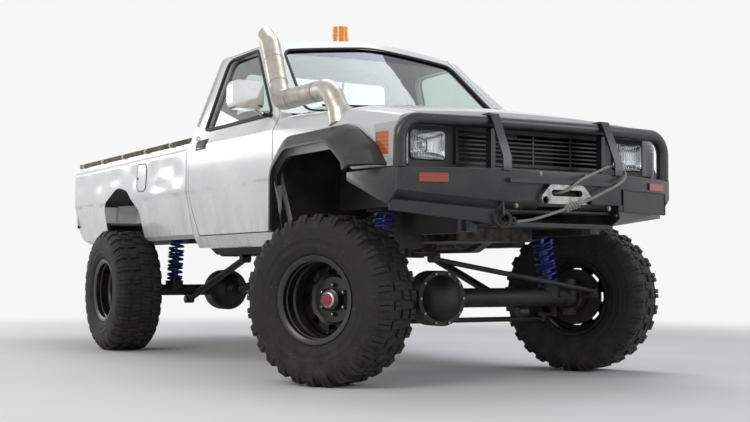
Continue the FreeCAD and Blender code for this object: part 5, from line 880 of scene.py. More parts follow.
# %% Wheel details
nut = lathe([(11.5, 0), (11.5, 12), (9.6, 14), (6.2, 15.5), (6.2, 20), (4.8, 21.4), (0, 21.6)], 6)
bmesh.ops.translate(nut, verts=nut.verts, vec=mm(69.85, -34.4, 0))
nuts = grown(round_tree, softened(nut, 0.7, 1), Count=6, Phase=math.radians(30), Finish=zinc)
barrel_steps = [lathe(ring, 96, closed=True) for ring in (
    [(184, 100), (179, 96), (177.5, 88), (179, 80), (184, 76)],
    [(184, 44), (176, 36), (172.5, 30), (172.5, -16), (176, -22), (184, -26)])]
steel_steps = merged("steps", [(step, wheel_paint) for step in barrel_steps])
tooth = block((33, 15.0, -1.6), (40.2, 23.5, 1.6))
teeth = grown(round_tree, softened(tooth, 0.6, 1), Count=30, Finish=zinc)
dial = lathe([(36, 15), (38.6, 16.4), (38.8, 22.5), (35.5, 26), (30, 27.2), (29, 25.6)], 72)
cap = lathe([(29.6, 24.5), (27, 27.2), (20, 28.4), (12, 28.9), (11, 27.9), (5, 28), (4, 28.8),
             (0, 28.9)], 48)
valve = sweep([mm(0, -18, -168), mm(0, 4, -160), mm(0, 14, -158)], 0.0045, 10)
valve_cap = sweep([mm(0, 12, -158.4), mm(0, 22, -156.8)], 0.0058, 10)
front_hub = merged("front_hub", [(nuts, zinc), (teeth, zinc), (dial, zinc), (cap, hub_red),
                                 (valve, seal_rubber), (valve_cap, handle_plastic),
                                 (steel_steps, None)])
rear_cap = lathe([(48, -12), (47, -7.5), (40, -5.6), (20, -5.2), (0, -5)], 48)
rear_hub = merged("rear_hub", [(nuts, zinc), (rear_cap, wheel_paint), (steel_steps, None)])

WHEELS = {}
for corner, side, steered in (("front_right", -1, True), ("front_left", 1, True),
                              ("rear_right", -1, False), ("rear_left", 1, False)):
    angle = (STEER if steered else 0) + (math.pi if side < 0 else 0)
    turn = Matrix.Rotation(STEER, 3, "Z") if steered else Matrix.Identity(3)
    centre = Vector((FRONT, side * 0.675, WHEEL_HIGH)) + turn @ Vector((0, side * 0.175, 0))
    if not steered:
        centre.x = REAR
    WHEELS[corner] = Matrix.Translation(centre) @ Matrix.Rotation(angle, 4, "Z")


def wheel_finish(matrix):
    """Black for the rim, and dark steel for the brake and hub behind it."""
    back = matrix.inverted()

    def choose(centre, normal):
        spot = back @ centre
        return 1 if spot.y < -0.0445 and math.hypot(spot.x, spot.z) < 0.16 else 0
    return choose


for corner, matrix in WHEELS.items():
    body = "wheel_" + corner
    mesh = merged("tyre_" + corner + "_finished", [(tyre_mesh, tyre_rubber)], matrix)
    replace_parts(finished(mesh.name, mesh, body, 36), "tyre_" + corner)
    dress("rim_and_hub_" + corner, "rim_black", wheel_paint, dark_steel,
          choose=wheel_finish(matrix), smooth=28)
    hub = front_hub if corner.startswith("front") else rear_hub
    finished("hub_details_" + corner, merged("hub_details_" + corner, [
        (hub, None)], matrix), body, 35)
print("four wheels on", list(WHEELS))

# %% [markdown]
# ## Laying trim on the skin
#
# Seals, rails and handles must follow the curved panels exactly. Each point of a trim path is
# dropped on to the CAD skin with a ray, as a fitter presses rubber on to a flange. A corner
# rounder turns a few corners and radii into a smooth path.

# %% Path and skin helpers


def fillet(corners, closed=True, steps=6):
    """A smooth path through flat corners (u, v, radius) in millimetres."""
    count = len(corners)
    path = []
    for i, (u, v, radius) in enumerate(corners):
        here = Vector((u, v))
        if not closed and i in (0, count - 1) or radius <= 0:
            path.append(here)
            continue
        back = Vector(corners[i - 1][:2])
        ahead = Vector(corners[(i + 1) % count][:2])
        first, second = (back - here).normalized(), (ahead - here).normalized()
        half = first.angle(second) / 2
        run = min(radius / math.tan(half), 0.49 * (back - here).length,
                  0.49 * (ahead - here).length)
        start, end = here + first * run, here + second * run
        for k in range(steps + 1):
            t = k / steps
            path.append(start.lerp(here, t).lerp(here.lerp(end, t), t))
    return path


def dense(path, step, closed=True):
    """The path with extra points, so that none of its runs is longer than the step."""
    result = []
    pairs = list(zip(path, path[1:] + path[:1])) if closed else list(zip(path, path[1:]))
    for first, second in pairs:
        parts = max(1, round((second - first).length / step))
        result += [first.lerp(second, k / parts) for k in range(parts)]
    return result if closed else result + [path[-1]]


def swollen(path, middle, by, tall=1.0):
    """The path moved outward from a middle point by some millimetres."""
    return [here + Vector((here.x - middle[0], (here.y - middle[1]) * tall)).normalized() * by
            for here in path]


def skin_of(*nodes):
    """The CAD surface of some pieces, for dropping points on to it."""
    verts, faces = [], []
    for node in nodes:
        mesh = frame["nodes"][node].data
        first = len(verts)
        verts += [v.co.copy() for v in mesh.vertices]
        faces += [[first + k for k in p.vertices] for p in mesh.polygons]
    return BVHTree.FromPolygons(verts, faces)


def dropped(skin, point, direction, lift=0.0):
    """The point moved along a direction until it meets the skin, less a lift."""
    direction = Vector(direction).normalized()
    hit = skin.ray_cast(Vector(point), direction)[0]
    return (hit if hit is not None else Vector(point)) - direction * lift / 1000


def side_point(skin, side, a, z, lift=0.0):
    """A point on the vehicle's side, a millimetres behind the front axle."""
    return dropped(skin, behind(a, side * 1400, z), (0, -side, 0), lift)


def trim(name, parts, body, smooth=35):
    """A finished piece of trim from parts and their finishes."""
    return finished(name, merged(name, parts), body, smooth)


print("trim helpers ready")

# %% [markdown]
# ## Window rubbers and drip rails
#
# Black rubber holds each pane. It stands a few millimetres proud of the paint and draws the
# dark line round the glass that makes a cab read as a cab. A folded steel rail above each
# door leads rain away; it is enamelled with the body.

# %% Door window rubbers
DOOR_WINDOW = ((650, 1378, 14), (1108, 1788, 40), (1500, 1788, 70), (1556, 1378, 14))
DRIP_RAIL = ((560, 1392, 0), (1058, 1842, 60), (1612, 1842, 70), (1716, 1412, 0))
BELT_HIGH = 1366
cab_skin = skin_of("cab_shell")
for side, corner in ((-1, "right"), (1, "left")):
    skin = skin_of("door_" + corner)
    ring = [side_point(skin, side, a, z, -1.5)
            for a, z in swollen(dense(fillet(DOOR_WINDOW), 40), (1200, 1560), 7)]
    wiper = [side_point(skin, side, a, BELT_HIGH, -3) + Vector((0, side * 0.004, 0))
             for a in range(660, 1560, 60)]
    trim("door_seal_" + corner, [
        (sweep(ring, 0.0105, 8, closed=True), seal_rubber),
        (sweep(wiper, 0.007, 8), seal_rubber)], "door_" + corner)
    rail = [side_point(cab_skin, side, a, z, 3)
            for a, z in dense(fillet(DRIP_RAIL, closed=False), 45, closed=False)]
    trim("drip_rail_" + corner, [(sweep(rail, 0.0065, 8), enamel)], "chassis")
print("door rubbers and drip rails laid")

# %% [markdown]
# The windscreen and the rear window lie on surfaces that a formula gives, a bowed and raked
# one in front and a flat raked one behind, so their rubbers need no ray. Two thin dividers
# split the rear window.

# %% Windscreen and rear window rubbers
SCREEN_AT, SCREEN_BOW, SCREEN_FOOT, SCREEN_RAKE = 406.7, 2150, 1368, 500 / 415
OUT_FORWARD, OUT_UP = 0.6, 0.8
WALL_AT, WALL_FOOT, WALL_RAKE = 1754, 1335, 114 / 523
SCREEN = ((-648, 1394, 40), (648, 1394, 40), (560, 1790, 70), (0, 1850, 900), (-560, 1790, 70))
REAR_WINDOW = ((-560, 1424, 60), (560, 1424, 60), (500, 1760, 60), (-500, 1760, 60))


def on_screen(y, z, lift):
    """A point on the windscreen's curved and raked outer surface."""
    bow = SCREEN_BOW - math.sqrt(SCREEN_BOW ** 2 - y ** 2)
    return behind(SCREEN_AT + bow + (z - SCREEN_FOOT) * SCREEN_RAKE - lift * OUT_FORWARD, y,
                  z + lift * OUT_UP)


def on_rear_wall(y, z, lift):
    """A point on the cab's flat and raked rear wall."""
    return behind(WALL_AT - (z - WALL_FOOT) * WALL_RAKE + lift, y, z)


screen_ring = [on_screen(y, z, -3) for y, z in swollen(
    dense(fillet(SCREEN, steps=8), 45), (0, 1610), 4, 1.6)]
rear_ring = [on_rear_wall(y, z, -3) for y, z in swollen(
    dense(fillet(REAR_WINDOW), 45), (0, 1590), 4, 1.6)]
dividers = [(sweep([on_rear_wall(y, z, -14) for z in (1424, 1758)], 0.009, 6), seal_rubber)
            for y in (-180, 180)]
trim("screen_seals", [(sweep(screen_ring, 0.009, 10, closed=True), seal_rubber),
                      (sweep(rear_ring, 0.012, 10, closed=True), seal_rubber)] + dividers,
     "chassis")
print("screen rubbers laid")

# %% [markdown]
# ## Wipers and cowl
#
# Two black wipers lie along the foot of the windscreen, and a row of slots in front of it
# draws air into the cab. Each slot is drawn as a small black block on the skin, painted shade
# for the dark inside of the opening. The slots repeat in equal steps along a line, which is
# the second rule this lesson gives to Geometry Nodes.

# %% Copies along a row
row_tree, group = new_tree("copies along a row", (
    ("Piece", "NodeSocketObject", None), ("Count", "NodeSocketInt", 6),
    ("Start", "NodeSocketVector", None), ("Step", "NodeSocketVector", None),
    ("Finish", "NodeSocketMaterial", None)))
index = add(row_tree, "GeometryNodeInputIndex")
offset = add(row_tree, "ShaderNodeVectorMath", {
    0: group.outputs["Step"], "Scale": index.outputs[0]}, operation="SCALE")
where = add(row_tree, "ShaderNodeVectorMath", {0: group.outputs["Start"], 1: offset},
            operation="ADD")
points = add(row_tree, "GeometryNodePoints", {"Count": group.outputs["Count"],
                                              "Position": where})
close_tree(row_tree, group, points)


def row(piece, count, start, step, finish):
    """Copies of a mesh in a straight row, as a mesh; start and step are in millimetres."""
    return grown(row_tree, piece, Count=count, Start=tuple(mm(*start)), Step=tuple(mm(*step)),
                 Finish=finish)


SLOTS, SLOT_STEP, LINE_STEP, ABOVE = 25, 50, 18, 2.2
# Each slot is a black block on the skin: painted shade for the opening's dark inside.
slot_shade_block = softened(block((-5, -20, -2), (5, 20, 2)), 1.5, 1)
cowl_skin = skin_of("bonnet", "cab_shell")
cowl = []
for line in (0, 1):
    slots = row(slot_shade_block, SLOTS, (FRONT * 1000 - 470 - LINE_STEP * line, -600, 0),
                (0, SLOT_STEP, 0), grille_plastic)
    each = len(slots.vertices) // SLOTS
    for k in range(SLOTS):
        part = slots.vertices[k * each:(k + 1) * each]
        middle = sum((v.co for v in part), Vector()) / len(part)
        top = dropped(cowl_skin, (middle.x, middle.y, ABOVE), (0, 0, -1), -0.6).z
        for vert in part:
            vert.co.z += top
    cowl.append((slots, grille_plastic))
wipers = []
for start, end in ((-560, 40), (20, 600)):
    pivot = dropped(cowl_skin, (FRONT - 0.5, start / 1000 + 0.03, ABOVE), (0, 0, -1), 12)
    blade = [on_screen(start + (end - start) * k / 12, 1412 + 16 * k / 12, 14)
             for k in range(13)]
    wipers += [(sweep(blade, 0.0055, 6), seal_rubber),
               (sweep([pivot, blade[3].lerp(blade[6], 0.5)], 0.006, 6), handle_plastic)]
trim("cowl_and_wipers", cowl + wipers, "chassis")
print("cowl slots", 2 * SLOTS)

# %% [markdown]
# ## Door handles, locks and the fuel door
#
# The handles are satin black flush flaps in a bezel, with a lock below. On the tub the fuel
# door is an octagonal hatch pressed from the same sheet: its dark gap and its little lock
# are all that shows. A round-cornered outline is carried along the panel's own height so
# that it lies on the curved skin.

# %% Plates on the side


def side_plate(skin, side, corners, lift, thick, steps=4):
    """A round-cornered plate laid on the vehicle's side."""
    ring = [side_point(skin, side, a, z, lift) for a, z in fillet(corners, steps=steps)]
    return prism(ring, (0, -side * thick / 1000, 0))


def oblong(u, v, long, high, radius):
    """Corners of an oblong about a middle point."""
    return [(u + i * long / 2, v + j * high / 2, radius)
            for i, j in ((-1, -1), (1, -1), (1, 1), (-1, 1))]


def set_at(shape, point, turn):
    """A shape set at a point, with its own Y axis turned about the vertical."""
    bmesh.ops.transform(shape, matrix=Matrix.Translation(point) @ Matrix.Rotation(turn, 4, "Z"),
                        verts=shape.verts)
    return shape


for side, corner in ((-1, "right"), (1, "left")):
    skin = skin_of("door_" + corner)
    bezel = side_plate(skin, side, oblong(1538, 1284, 176, 62, 14), 2.5, 8)
    flap = side_plate(skin, side, oblong(1532, 1286, 140, 34, 9), 7.5, 7)
    lock = set_at(lathe([(10, 0), (10, 4.5), (8.5, 6), (3, 6), (2.5, 5), (0, 5)], 24),
                  side_point(skin, side, 1602, 1262), 0 if side > 0 else math.pi)
    trim("door_handle_" + corner, [
        (softened(bezel, 1.5), handle_plastic), (softened(flap, 2.5), handle_plastic),
        (lock, zinc)], "door_" + corner)
HATCH = ((2478, 1085, 8), (2520, 1062, 8), (2622, 1068, 8), (2650, 1096, 8), (2644, 1222, 8),
         (2618, 1246, 8), (2486, 1240, 8), (2462, 1212, 8))
HATCH_A, HATCH_Z, INSIDE_GAP = 2555, 1155, 0.965
tub_skin = skin_of("load_tub")
hatch = fillet(HATCH, steps=3)
gap = [side_point(tub_skin, -1, a, z, 0.6) for a, z in dense(hatch, 25)]
door = [side_point(tub_skin, -1, (a - HATCH_A) * INSIDE_GAP + HATCH_A,
                   (z - HATCH_Z) * INSIDE_GAP + HATCH_Z, 1.6) for a, z in hatch]
lock = set_at(lathe([(8, 0), (8, 3.5), (7, 4.5), (2.5, 4.5), (2, 3.5), (0, 3.5)], 20),
              side_point(tub_skin, -1, 2626, 1150), math.pi)
trim("fuel_door", [(sweep(gap, 0.0032, 6, closed=True), seal_rubber),
                   (prism(door, (0, 0.004, 0)), enamel), (lock, dark_steel)], "chassis")
print("handles and fuel door laid")

# %% [markdown]
# ## The tub's rail, rope strip and hooks
#
# Under the tub's folded rail runs a strip of worn rubber, brown with dust, and small white
# hooks stand out of it to tie loads down. The hooks are one bent bar, copied in a row. The
# tub's floor is ribbed so that loads slide and water drains.

# %% Tub fittings
TUB_FRONT, STRIP_INNER, STRIP_OUTER = 1772, 803.4, 809
dusty_strip = moulded("tarpaulin strip, dusty brown", "#4A4336", 0.3, 0.85, "#8A7E66", 0.7, 6)
strips, hooks = [], []
bent = [(803, -6), (812, -10), (822, -6), (825, 4), (820, 14), (811, 15), (806, 10)]
for side in (-1, 1):
    near, far = sorted((side * STRIP_INNER, side * STRIP_OUTER))
    strips.append((softened(block((TAIL * 1000 + 4, near, 1318),
                                  (FRONT * 1000 - TUB_FRONT, far, 1349)), 1.5), dusty_strip))
    bar = as_mesh(sweep([mm(0, side * y, z) for y, z in bent], 0.0055, 8))
    hooks.append((row(bar, 6, (TAIL * 1000 + 130, 0, 1326), (462, 0, 0), enamel), enamel))
trim("tub_strips", strips, "chassis")
trim("rope_hooks", hooks, "chassis")
rib = softened(block((-20, -18, 0), (20, 18, 9)), 6, 3)
for vert in rib.vertices:
    vert.co.x += 0.94 if vert.co.x > 0 else -1.02
ribs = row(rib, 9, ((FRONT + TAIL) * 500 - 455, -440, 905), (0, 110, 0), enamel)
trim("tub_floor_ribs", [(ribs, enamel)], "chassis")
print("tub fitted out")

# %% [markdown]
# ## Lamps
#
# Each headlamp is a black bezel round a silvered bowl, with a bulb in front and a fluted
# glass over all. The corner lamps are one amber lens between clear ends, and the marker lamps
# on the bar have faded to a dull red-orange. A lens shape is scored with planes, so that the
# colour changes along a straight moulded line.

# %% Headlamps
FORWARD = -math.pi / 2


def ahead(x, y, z):
    """A point x millimetres in front of the front axle."""
    return mm(FRONT * 1000 + x, y, z)


def skinned(rings):
    """A surface drawn over rings of equal numbers of points, the last one capped."""
    shape = bmesh.new()
    rows = [[shape.verts.new(point) for point in ring] for ring in rings]
    bridged(shape, rows)
    shape.faces.new(rows[-1])
    return shape


def lamp_ring(x, y, z, wide, high, radius):
    """A round-cornered oblong that faces forward."""
    return [ahead(x, y + u, z + v)
            for u, v in fillet(oblong(0, 0, wide, high, radius), steps=5)]


CASE = ((566, 186, 128, 20), (576.5, 189, 131, 21), (577.8, 192, 134, 23), (577, 197, 139, 25),
        (572, 199.6, 141.6, 26), (487, 199.6, 141.6, 26))
BOWL = ((569, 187, 129, 20), (560, 178, 120, 20), (540, 150, 100, 30), (520, 110, 84, 38),
        (505, 66, 60, 28), (500, 30, 30, 14))
BULB = [(0, 548), (8, 546), (12, 540), (13, 530), (17, 528), (17, 512), (0, 512)]
BULB_RING = [(25, 541), (29, 543), (33, 541), (33, 536), (25, 536)]
lamps, lenses = [], []
for side in (-1, 1):
    y, z = side * 592, 1114
    case, bowl = (skinned([lamp_ring(x, y, z, *size) for x, *size in rings])
                  for rings in (CASE, BOWL))
    bulb = set_at(lathe(BULB, 32), ahead(0, y, z), FORWARD)
    collar = set_at(lathe(BULB_RING, 40, closed=True), ahead(0, y, z), FORWARD)
    lamps += [(case, grille_plastic), (bowl, reflector), (bulb, zinc), (collar, chrome)]
    cover = prism(lamp_ring(570, y, z, 189, 131, 20), mm(3.4, 0, 0))
    lenses.append((softened(cover, 1.0), lens_glass))
lamp_piece = trim("headlamps_finished", lamps, "chassis")
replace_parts(lamp_piece, "headlamps")
trim("headlamp_lenses", lenses, "chassis")
print("headlamps have", len(lamps) + len(lenses), "parts")

# %% [markdown]
# Each coloured lens is one CAD piece. The planes below are the lines where its mould changes
# from one dye to the next.

# %% Coloured lenses
AMBER_LOW, AMBER_HIGH = 1.066, 1.172
AMBER_BACK, AMBER_FRONT = FRONT + 0.452, FRONT + 0.538
CLEAR_TOP, AMBER_TOP = 0.962, 1.02


def corner_finish(centre, normal):
    """Amber between the two clear ends of the corner lamp."""
    level = AMBER_LOW < centre.z < AMBER_HIGH
    return 1 if level and AMBER_BACK < centre.x < AMBER_FRONT else 0


def tail_finish(centre, normal):
    """Clear at the foot of the tail lamp, then amber, and red above."""
    return 1 if centre.z < CLEAR_TOP else 2 if centre.z < AMBER_TOP else 0


corner_planes = [((0, 0, z), (0, 0, 1)) for z in (AMBER_LOW, AMBER_HIGH)]
corner_planes += [((x, 0, 0), (1, 0, 0)) for x in (AMBER_BACK, AMBER_FRONT)]
dress("corner_lamps", "lamp_glass", clear_acrylic, amber_lens, choose=corner_finish,
      planes=corner_planes)
dress("marker_lamps", "lamp_amber", dull_amber)
dress("tail_lamps", "lamp_red", red_lens, clear_acrylic, amber_lens, choose=tail_finish,
      planes=[((0, 0, z), (0, 0, 1)) for z in (CLEAR_TOP, AMBER_TOP)])
print("lenses cut by", len(corner_planes) + 2, "planes")

# %% [markdown]
# ## Winch bar, plate and rope guide
#
# The bar is folded plate with a welded tube hoop. Its bolts are bare steel, and it carries a
# blank plate to the left. The rope leaves through a cast alloy guide with a ring bolt at each
# end.

# %% Bar, bolts and plate
dress("bull_bar_beam", "bar_paint", bar_coat, bevel=0.002)
dress("bull_bar_hoop", "bar_paint", bar_coat)
dress("rope_guide", "alloy", cast_alloy)
dress("winch", "winch_black", winch_paint)


def face_x(y):
    """How far in front of the axle the bar's swept face lies at a distance from the middle."""
    return 805 - max(0, abs(y) - 342) * 157 / 458


EYE_HIGH, EYE_RADIUS = 866, 13
bolt_parts = []
for y, z in ((-134, 986), (134, 986), (-270, 838), (270, 838)):
    for profile, sides in (([(0, 0), (11, 0), (11, 2), (0, 2)], 32),
                           ([(0, 2), (8, 2), (8, 7), (7, 8), (0, 8)], 6)):
        part = set_at(lathe(profile, sides), ahead(face_x(y) - 1, y, z), FORWARD)
        bolt_parts.append((part, bright_steel))
for y in (-126, 126):
    eye = [ahead(836 + EYE_RADIUS * math.cos(math.tau * k / 24), y,
                 EYE_HIGH + EYE_RADIUS * math.sin(math.tau * k / 24)) for k in range(24)]
    bolt_parts.append((sweep(eye, 0.0042, 8, closed=True), dark_steel))
    bolt_parts.append((set_at(lathe([(0, 0), (14, 0), (14, 3), (0, 3)], 24),
                              ahead(828, y, EYE_HIGH), FORWARD), dark_steel))
trim("bar_bolts", bolt_parts, "chassis")
plate_path = fillet(oblong(551.5, 877.5, 389, 103, 8))
plate = prism([ahead(face_x(y) + 3, y, z) for y, z in plate_path], mm(4, 0, 0))
rim = sweep([ahead(face_x(y) + 7, y, z) for y, z in dense(plate_path, 60)], 0.0035, 6,
            closed=True)
trim("number_plate_blank", [(plate, plate_black), (rim, handle_plastic)], "chassis")
WINDING, WINDING_STEP = 5, 10.4
winding = lathe([(47 + WINDING * math.cos(math.tau * k / 10),
                  WINDING * math.sin(math.tau * k / 10)) for k in range(10)], 40, closed=True)
turns = row(as_mesh(winding), 21, (FRONT * 1000 + 716, -104, 894), (0, WINDING_STEP, 0),
            wound_rope)
trim("winch_windings", [(turns, wound_rope)], "chassis")
print("bar fitted with", len(bolt_parts), "bolt parts")

# %% [markdown]
# ## The winch rope and its hook
#
# The rope comes out of the guide, rises round the hoop's upright, crosses back in front of
# the bar and ends in an eye that is wrapped for strength. It is a plain braid, 12 mm thick,
# whose UV map runs once round it and along it. Its hook is forged steel, hooked to the bar.

# %% Rope, knot and hook
ROUTE = ((760.3, -58, 900), (817, -54, 898), (845, -2, 912), (843, 52, 955), (839, 122, 986),
         (819, 214, 1018), (788, 290, 1041), (783, 348, 1039), (804, 377, 1015),
         (831, 350, 984), (849, 296, 952), (847, 194, 907), (851, 104, 869), (853, -2, 834),
         (852, -90, 808), (841, -166, 784), (813, -222, 769), (785, -254, 767))
ROPE = 6
KNOT_START, KNOT_END, KNOT_TURNS, WRAP_STEPS = 0.745, 0.8, 5, 120
KNOT_RADIUS, WRAP = 0.0112, 0.0056
HOOK_FROM, HOOK_SKIN = -0.2565, 0.0025


def spline_points(corners, resolution=8):
    """Points read from a NURBS spline that has the route's points as its control points."""
    curve = bpy.data.curves.new("route", "CURVE")
    curve.dimensions = "3D"
    spline = curve.splines.new("NURBS")
    spline.points.add(len(corners) - 1)
    for point, corner in zip(spline.points, corners):
        point.co = (*corner, 1)
    spline.order_u = 3
    spline.use_endpoint_u = True
    spline.resolution_u = resolution
    return [vert.co.copy() for vert in baked(in_scene("route", curve)).vertices]


def braided(name, line, radius, sides=12):
    """A rope along a line, with a UV map that runs round and along it."""
    mesh = as_mesh(sweep(line, radius, sides), name)
    far = [0.0]
    for first, second in zip(line, line[1:]):
        far.append(far[-1] + (second - first).length)
    layer = mesh.uv_layers.new(name="braid")
    for face in mesh.polygons:
        turns_round = [v % sides for v in face.vertices]
        seam = max(turns_round) - min(turns_round) > 1
        for loop, vert in zip(face.loop_indices, face.vertices):
            turn = vert % sides
            u = 1.0 if seam and turn == 0 else turn / sides
            layer.data[loop].uv = (u, far[min(vert // sides, len(far) - 1)] / radius / math.tau)
    mesh.materials.append(rope_braid)
    return mesh, far[-1]

def hook_only(shape):
    """Cuts the rope off the CAD's hook and thickens the hook a little."""
    bmesh.ops.bisect_plane(shape, geom=shape.verts[:] + shape.edges[:] + shape.faces[:],
                           plane_co=(0, HOOK_FROM, 0), plane_no=(0, 1, 0), clear_outer=True)
    bmesh.ops.holes_fill(shape, edges=shape.edges)
    shape.normal_update()
    for vert in shape.verts:
        vert.co += vert.normal * HOOK_SKIN


rope_line = spline_points([ahead(*point) for point in ROUTE])
rope_mesh, rope_length = braided("winch_rope_finished", rope_line, ROPE / 1000)
rope = finished(rope_mesh.name, rope_mesh, "chassis", 60)
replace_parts(rope, "winch_rope")
start, end = (round(share * (len(rope_line) - 1)) for share in (KNOT_START, KNOT_END))
wrapped = rope_line[start:end + 1]
across = (wrapped[-1] - wrapped[0]).cross(Vector((1, 0, 0))).normalized()
wraps = []
for k in range(WRAP_STEPS + 1):
    run = k / WRAP_STEPS * (len(wrapped) - 1)
    at = min(int(run), len(wrapped) - 2)
    axis = (wrapped[at + 1] - wrapped[at]).normalized()
    side = (across - axis * across.dot(axis)).normalized()
    turn = math.tau * KNOT_TURNS * k / WRAP_STEPS
    wraps.append(wrapped[at].lerp(wrapped[at + 1], run - at) + KNOT_RADIUS * (
        side * math.cos(turn) + axis.cross(side) * math.sin(turn)))
knot_mesh = braided("rope_knot", wraps, WRAP, 8)[0]
knot = finished("rope_knot", knot_mesh, "chassis", 60)
hook_mesh = reshaped(bare_copy("winch_rope", "rope_hook"), hook_only)
hook_mesh.materials.append(dark_steel)
hook = finished("rope_hook", hook_mesh, "chassis", 40)
tuple(rope_line[0])
[tuple(p) for p in rope_line]
print(f"rope {rope_length:.3f} m, knot {(wrapped[-1] - wrapped[0]).length:.3f} m long, "
      f"near y {wrapped[0].y:.3f}")

# %% [markdown]
# ## Intake pipe, mirror and beacon
#
# The raised intake is brushed stainless pipe. Weld beads ring it at each joint, and a rubber
# collar seals it where it leaves the wing. The mirror head is chromed, its arm black. The
# beacon is orange acrylic on a dark foot.

# %% Pipe, mirror and beacon
dress("intake_pipe", "stainless", stainless, smooth=40)
PIPE = [behind(a, y, z) for a, y, z in ((-128, -784, 1262), (-22, -806, 1424),
                                        (492, -815, 1424), (742, -762, 1766),
                                        (860, -748, 1838))]
BEAD = [(50.4, -2.2), (52.2, -1.4), (52.9, 0), (52.2, 1.4), (50.4, 2.2)]
COLLAR = [(50.5, -14), (53.5, -13), (54.5, -10), (54.5, 10), (53.5, 13), (50.5, 14)]
MIRROR_ARM, FOOT_HIGH = 0.862, 0.0442


def ring_on(k, share, profile):
    """A turned ring round one straight run of the pipe."""
    first, last = PIPE[k], PIPE[k + 1]
    ring = lathe(profile, closed=True)
    turn = Vector((0, 1, 0)).rotation_difference((last - first).normalized()).to_matrix()
    bmesh.ops.transform(ring, matrix=Matrix.Translation(first.lerp(last, share))
                        @ turn.to_4x4(), verts=ring.verts)
    return ring


def mirror_finish(centre, normal):
    """Silvered glass to the rear, chrome round the head, and a black arm."""
    if abs(centre.y) < MIRROR_ARM:
        return 2
    return 1 if normal.x < -0.85 else 0


pipe_parts = [(ring_on(k, share, BEAD), bright_steel)
              for k, share in ((1, 0.22), (1, 0.76), (2, 0.28), (2, 0.7))]
pipe_parts.append((ring_on(0, 0.16, COLLAR), seal_rubber))
trim("intake_bands", pipe_parts, "chassis")
dress("mirror_right", "mirror_chrome", chrome, mirror_glass, handle_plastic,
      choose=mirror_finish)
foot_top = min(v.co.z for v in frame["nodes"]["beacon"].data.vertices) + FOOT_HIGH
dress("beacon", "beacon_amber", beacon_lens, handle_plastic,
      choose=lambda centre, normal: 0 if centre.z > foot_top else 1)
print("pipe, mirror and beacon ready")

# %% [markdown]
# ## The cab's inside
#
# Through the glass show a cloth bench, a dark dashboard and a thin steering wheel. The bench
# is foam under a tight cover: its faces are crowned, its edges are round, and sewn channels
# run across it.

# %% Bench, dashboard and wheel
ROUND_EDGE, CROWN_FALL, SEWN_DEPTH, SEWN_WIDE = 7, 0.8, 0.2, 0.03


def cushion(low, high, crown, channels):
    """A crowned foam cushion between two corners in metres, with sewn channels across it."""
    shape = bmesh.new()
    bmesh.ops.create_cube(shape, size=2)
    bmesh.ops.subdivide_edges(shape, edges=shape.edges, cuts=31, use_grid_fill=True)
    low, high = Vector(low), Vector(high)
    middle, half = (low + high) / 2, (high - low) / 2
    for vert in shape.verts:
        u = vert.co.copy()
        largest = max(abs(c) for c in u)
        length = sum(abs(c) ** ROUND_EDGE for c in u) ** (1 / ROUND_EDGE)
        out = u * (largest / length)
        spot = Vector(out[i] * (half[i] - crown) for i in range(3))
        for i in range(3):
            j, k = (i + 1) % 3, (i + 2) % 3
            spot[i] += crown * out[i] * (1 - CROWN_FALL * out[j] ** 2) * (
                1 - CROWN_FALL * out[k] ** 2)
        sewn = min(abs(u.y - (2 * c / channels - 1)) for c in range(1, channels))
        spot -= SEWN_DEPTH * crown * out * math.exp(-(sewn / SEWN_WIDE) ** 2)
        vert.co = middle + spot
    return shape


seat_back = cushion(behind(1664, -598, 1180), behind(1560, 598, 1538), 0.022, 6)
seat_base = cushion(behind(1600, -598, 962), behind(1032, 598, 1150), 0.026, 6)
seat = trim("bench_seat_finished", [(seat_base, seat_cloth), (seat_back, seat_cloth)],
            "chassis", 60)
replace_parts(seat, "bench_seat")
dress("dashboard", "trim_vinyl", dash_vinyl, bevel=0.004)
dress("steering_wheel", "trim_vinyl", dash_vinyl, smooth=50)
print("cab furnished")

# %% [markdown]
# ## The dented load tub
#
# The tub has carried rough loads. It is scored into small cells, and those of its right side
# are pushed in by soft hollows: round the fuel door, over the rear arch and along the waist
# crease. Its lower rear corners are rounded. Inside the arches and below the floor it wears
# black underseal.

# %% Tub panels and dents
DENTS = ((1905, 1120, 95, 70, 7), (2090, 1190, 130, 50, 5), (2330, 1150, 80, 95, 9),
         (2600, 950, 90, 60, 8), (2700, 1170, 70, 90, 6), (2240, 1075, 120, 28, 6),
         (1850, 880, 60, 110, 7), (3900, 900, 110, 70, 8), (3480, 1160, 130, 60, 7),
         (3950, 1180, 90, 60, 6), (3120, 1180, 120, 45, 5))
CELL, TUB_NOSE, LOWEST, LEVELS = 0.028, FRONT - 1.768, 0.74, 20
DENTED_OUTSIDE, DENTED_BELOW, DENTS_FADE = -0.748, 1270, 40
CORNER, CORNER_TOP, CORNER_SIDE, CORNER_BEHIND = 0.15, 0.9, 0.738, REAR - 0.6
FLOOR_UNDER, ARCH_LONG, ARCH_TOP, ARCH_OUTSIDE = 0.882, 0.46, 1.118, 0.842
BED_HALF, BED_UNDER = 0.73, 0.895
tub_planes = [((TAIL + CELL * k, 0, 0), (1, 0, 0))
              for k in range(1, int((TUB_NOSE - TAIL) / CELL) + 1)]
tub_planes += [((0, 0, LOWEST + CELL * k), (0, 0, 1)) for k in range(LEVELS)]


def tub_finish(centre, normal):
    """Enamel outside and in the bed; underseal below the floor and in the arches."""
    outward = normal.y * (1 if centre.y > 0 else -1)
    below = centre.z < FLOOR_UNDER and outward < 0.25
    arch = (abs(centre.x - REAR) < ARCH_LONG and centre.z < ARCH_TOP
            and abs(centre.y) < ARCH_OUTSIDE)
    deep = abs(centre.y) < BED_HALF and centre.z < BED_UNDER
    return 1 if below or arch and outward < 0.25 and (normal.z < -0.2 or deep) else 0


